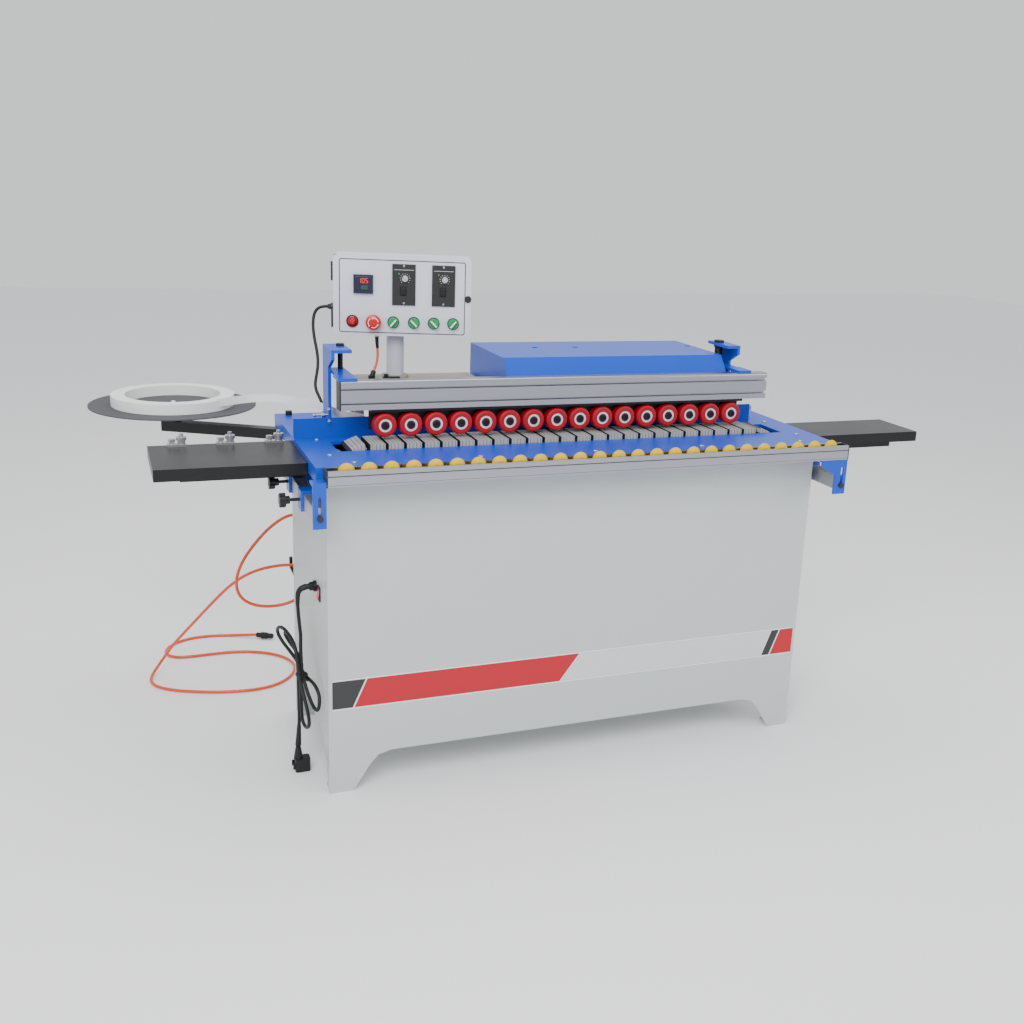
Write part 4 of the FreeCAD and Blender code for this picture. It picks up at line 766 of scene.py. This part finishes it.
def buildModule(number, middle):
    # bezel, scale ticks round the dial, run light, rocker and two screws of one speed module
    z0 = panel["moduleZ"]
    bezel = ringPlate(0.0585, 0.1035, 0.0008, 0.002, 0.0, 0.0003)
    bezel.location = (middle, -0.0040, z0)
    onPanel(bezel, "moduleBezel%d" % number, graphicGrey, "box_door")
    line = softBlock((0.050, 0.0005, 0.0010), (middle, -0.0042, z0 + 0.0385), 0.0001, 1)
    onPanel(line, "moduleLine%d" % number, graphicPale, "box_door")
    ticks = []
    for step in range(11):
        angle = math.radians(-135 + 27 * step)
        tick = softBlock((0.0007, 0.0005, 0.0026), (0, 0, 0), 0.0001, 1)
        tick.rotation_euler = (0, angle, 0)
        tick.location = (middle + 0.003 + 0.0122 * math.sin(angle), -0.0042,
                         panel["dialZ"] + 0.0122 * math.cos(angle))
        ticks.append(tick)
    onPanel(joinPieces(ticks), "dialScale%d" % number, graphicWhite, "box_door")
    run = lathe([(0, 0.0018), (0.0014, 0.0016), (0.0021, 0.0008), (0.0021, 0.0), (0.0, 0.0)],
                (middle - 0.0126, -0.0040, z0 + 0.0284), 16)
    onPanel(run, "runLight%d" % number, leafGreen, "box_door")
    seat = softBlock((0.017, 0.0016, 0.024), (middle - 0.0015, -0.0046, z0 - 0.0145), 0.0006)
    onPanel(seat, "rockerFrame%d" % number, mouldedBlack, "box_door")
    rocker = softBlock((0.0135, 0.004, 0.0195), (middle - 0.0015, -0.0060, z0 - 0.0145), 0.0012)
    rocker.rotation_euler = (math.radians(7), 0, 0)
    rocker.location = (0, 0.00012, 0)
    onPanel(rocker, "rockerCap%d" % number, blackSteel, "box_door")
    mark = softBlock((0.0012, 0.0006, 0.0045), (middle - 0.0015, -0.0079, z0 - 0.0095), 0.0001, 1)
    onPanel(mark, "rockerMark%d" % number, graphicWhite, "box_door")
    for place, z in enumerate((z0 + 0.0480, z0 - 0.0462)):
        screw = lathe([(0.0007, 0.0009), (0.0009, 0.0016), (0.0022, 0.0015), (0.0029, 0.0006), (0.0029, 0.0)],
                      (middle, -0.0040, z), 20)
        onPanel(screw, "moduleScrew%d_%d" % (number, place + 1), brightSteel, "box_door")


def buildLamp():
    # black ring and the lit chips under the lamp's lens
    ring = lathe([(0.0137, 0.0045), (0.0150, 0.0045), (0.0158, 0.0036), (0.0162, 0.0), (0.0143, 0.0),
                  (0.0137, 0.0045)], (panel["lamp"], 0, panel["row"]))
    onPanel(ring, "lampRing", mouldedBlack, "box_door")
    chips = []
    for x, z in ((0, 0), (0.0042, 0.002), (-0.0042, 0.002), (0.002, -0.0045), (-0.0026, -0.0042), (0, 0.0052)):
        out = 0.0141 - (x * x + z * z) * 22
        chipAt = (panel["lamp"] + x, -out, panel["row"] + z)
        chips.append(softBlock((0.0017, 0.0012, 0.0017), chipAt, 0.0003, 1))
    onPanel(joinPieces(chips), "lampChips", lampGlow, "box_door")


# metres: how far the arrows sit from the cap's middle, and their place in front of the door
arrows = {"reach": 0.0128, "face": -0.02715}


def buildStopMarks():
    # three turning arrows on the stop button's cap, and a red collar behind it
    arcs = []
    for start in (15, 135, 255):
        for step in range(7):
            angle = math.radians(start + step * 12)
            bar = softBlock((0.0016, 0.0008, 0.0030), (0, 0, 0), 0.0001, 1)
            bar.rotation_euler = (0, -angle, 0)
            bar.location = (panel["stop"] + arrows["reach"] * math.cos(angle), arrows["face"],
                            panel["row"] + arrows["reach"] * math.sin(angle))
            arcs.append(bar)
        angle = math.radians(start + 84)
        head = softBlock((0.0042, 0.0008, 0.0016), (0, 0, 0), 0.0001, 1)
        head.rotation_euler = (0, -angle, 0)
        head.location = (panel["stop"] + arrows["reach"] * math.cos(angle), arrows["face"],
                         panel["row"] + arrows["reach"] * math.sin(angle))
        arcs.append(head)
    onPanel(joinPieces(arcs), "stopArrows", graphicWhite, "stop_button")
    collar = lathe([(0.0092, 0.0), (0.0172, 0.0), (0.0172, 0.002), (0.0155, 0.0072), (0.0092, 0.0072),
                    (0.0092, 0.0)], (panel["stop"], 0, panel["row"]))
    onPanel(collar, "stopCollar", signalRed, "box_door")


def buildSelector(number, x, turn):
    # black collar, and the white pointer line along the grip
    collar = lathe([(0.0137, 0.0), (0.0155, 0.0), (0.0155, 0.0022), (0.0147, 0.0032), (0.0137, 0.0032),
                    (0.0137, 0.0)], (x, 0, panel["row"]))
    onPanel(collar, "selectorCollar%d" % number, mouldedBlack, "box_door")
    line = softBlock((0.0038, 0.0012, 0.0212), (0, 0, 0), 0.0003, 1)
    line.rotation_euler = (0, math.radians(turn), 0)
    line.location = (x, -0.0212, panel["row"])
    onPanel(line, "selectorLine%d" % number, graphicWhite, "selector_%d" % number)


buildPanel()
print("control panel is built")


tape = {
    "thick": 0.0010, "high": 0.0215,
    # x, y, middle height, from the roll to the fence
    "line": [(-0.283, 0.540, 0.8725), (-0.200, 0.5745, 0.8775), (-0.130, 0.5985, 0.8830), (-0.070, 0.6050, 0.8868),
             (-0.025, 0.5650, 0.8930), (0.010, 0.4900, 0.8990), (0.040, 0.4200, 0.9020), (0.064, 0.3500, 0.9050),
             (0.080, 0.3120, 0.9025), (0.100, 0.2860, 0.8970), (0.125, 0.2700, 0.8945), (0.150, 0.2610, 0.8935)],
}


def layTape():
    # a strip on edge: rows of vertices extruded along the line, then given its thickness
    line = [at(*point) for point in tape["line"]]
    deselectAll()
    bpy.ops.mesh.primitive_plane_add(size=0.001)
    strip = bpy.context.active_object
    editAll()
    bpy.ops.mesh.merge(type="CENTER")
    bpy.ops.object.mode_set(mode="OBJECT")
    strip.data.vertices[0].co = line[0] - Vector((0, 0, tape["high"] / 2))
    editAll()
    bpy.ops.mesh.extrude_region_move(TRANSFORM_OT_translate={"value": (0, 0, tape["high"])})
    bpy.ops.mesh.select_all(action="SELECT")
    for before, after in zip(line, line[1:]):
        bpy.ops.mesh.extrude_region_move(TRANSFORM_OT_translate={"value": after - before})
    bpy.ops.mesh.select_all(action="SELECT")
    bpy.ops.mesh.normals_make_consistent(inside=False)
    bpy.ops.object.mode_set(mode="OBJECT")
    for kind in ("SUBSURF", "SOLIDIFY"):
        change = strip.modifiers.new(kind.lower(), kind)
        if kind == "SUBSURF":
            change.levels = 2
            change.render_levels = 2
        else:
            change.thickness = tape["thick"]
            change.offset = 0
        pick(strip)
        bpy.ops.object.modifier_apply(modifier=change.name)
    bpy.ops.object.shade_smooth_by_angle(angle=math.radians(35))
    dress(strip, "tapeStrip", tapeWhite, "machine")


layTape()
print("tape is threaded")


def taperedSleeve(name, points, radii, finish):
    data = bpy.data.curves.new(name, "CURVE")
    data.dimensions = "3D"
    data.bevel_depth = 1
    data.bevel_resolution = 6
    data.resolution_u = 12
    data.use_fill_caps = True
    line = data.splines.new("NURBS")
    line.points.add(len(points) - 1)
    for spot, point, radius in zip(line.points, points, radii):
        spot.co = (*at(*point), 1)
        spot.radius = radius
    line.order_u = 3
    line.use_endpoint_u = True
    thing = bpy.data.objects.new(name, data)
    bpy.context.collection.objects.link(thing)
    pick(thing)
    bpy.ops.object.convert(target="MESH")
    thing = bpy.context.active_object
    bpy.ops.object.shade_smooth_by_angle(angle=math.radians(40))
    return dress(thing, name, finish, "machine")


def buildCordDetails():
    taperedSleeve("mainsBoot", [(-0.0235, 0.150, 0.4971)] + mainsDown[1:5],
                  [0.0078, 0.0074, 0.0066, 0.0058, 0.0050], mouldedBlack)
    taperedSleeve("plugBoot", [mainsTail[-3], mainsTail[-2], mainsTail[-1]],
                  [0.0050, 0.0062, 0.0078], mouldedBlack)
    taperedSleeve("dropStub", dropRoute[:3], [0.0052, 0.0048, 0.0042], mouldedBlack)
    # cable tie round the middle of the hank
    deselectAll()
    bpy.ops.mesh.primitive_torus_add(major_segments=40, minor_segments=8, major_radius=0.0148, minor_radius=0.0013)
    band = bpy.context.active_object
    band.scale = (0.95, 1.12, 1.7)
    bpy.ops.object.transform_apply(location=True, rotation=True, scale=True)
    lock = softBlock((0.008, 0.006, 0.007), (0, 0.0185, 0), 0.001)
    end = softBlock((0.0022, 0.024, 0.0045), (0.0035, 0.032, 0), 0.0006)
    tie = joinPieces([band, lock, end])
    turn = Matrix.Rotation(math.atan2(-0.25, -0.968), 4, "Z")
    dress(tie, "cableTie", mouldedBlack, "machine", at(*hankPoint(0, 268, 0)), turn)


buildCordDetails()
print("cord details are made")


def threadFinish():
    # turned ridges round the lead screws
    finish = copyFinish(blackSteel, "threadSteel")
    tree = finish.node_tree
    wave = tree.nodes.new("ShaderNodeTexWave")
    wave.bands_direction = "Z"
    wave.inputs["Scale"].default_value = 80
    tree.links.new(tree.nodes["where"].outputs["Object"], wave.inputs["Vector"])
    relief = tree.nodes.new("ShaderNodeBump")
    relief.inputs["Strength"].default_value = 0.9
    relief.inputs["Distance"].default_value = 0.0006
    tree.links.new(wave.outputs["Fac"], relief.inputs["Height"])
    tree.links.new(relief.outputs["Normal"], tree.nodes["Principled BSDF"].inputs["Normal"])
    return finish


def buildFittings():
    thread = threadFinish()
    for node in ("left_lead_screw", "right_lead_screw"):
        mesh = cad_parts[node].data
        mesh.materials.clear()
        mesh.materials.append(thread)
    # stop pin with its lock nut, on the outside of the left post
    pin = lathe([(0.0, 0.0), (0.0032, 0.0), (0.0032, 0.010), (0.0060, 0.0102), (0.0060, 0.0150), (0.0032, 0.0152),
                 (0.0032, 0.0290), (0.0045, 0.0300), (0.0052, 0.0330), (0.0040, 0.0355), (0.0, 0.0360)],
                (0, 0, 0), 24)
    sideways = Matrix.Rotation(math.radians(-90), 4, "Z")
    dress(pin, "stopPin", brightSteel, "machine", at(0.0538, 0.262, 0.905), sideways)
    for number, (y, z) in enumerate(((0.232, 0.925), (0.232, 0.895), (0.300, 0.895))):
        bolt = lathe([(0.0018, 0.0022), (0.0022, 0.0044), (0.0046, 0.0044), (0.0052, 0.0036), (0.0052, 0.0)],
                     (0, 0, 0), 20)
        dress(bolt, "postBolt%d" % (number + 1), brightSteel, "machine", at(0.0538, y, z), sideways)
    bezel = ringPlate(0.031, 0.037, 0.0035, 0.003, 0.0, 0.003)
    dress(bezel, "switchBezel", mouldedBlack, "machine", at(-0.0002, 0.105, 0.493), sideways)


buildFittings()
print("small fittings are made")
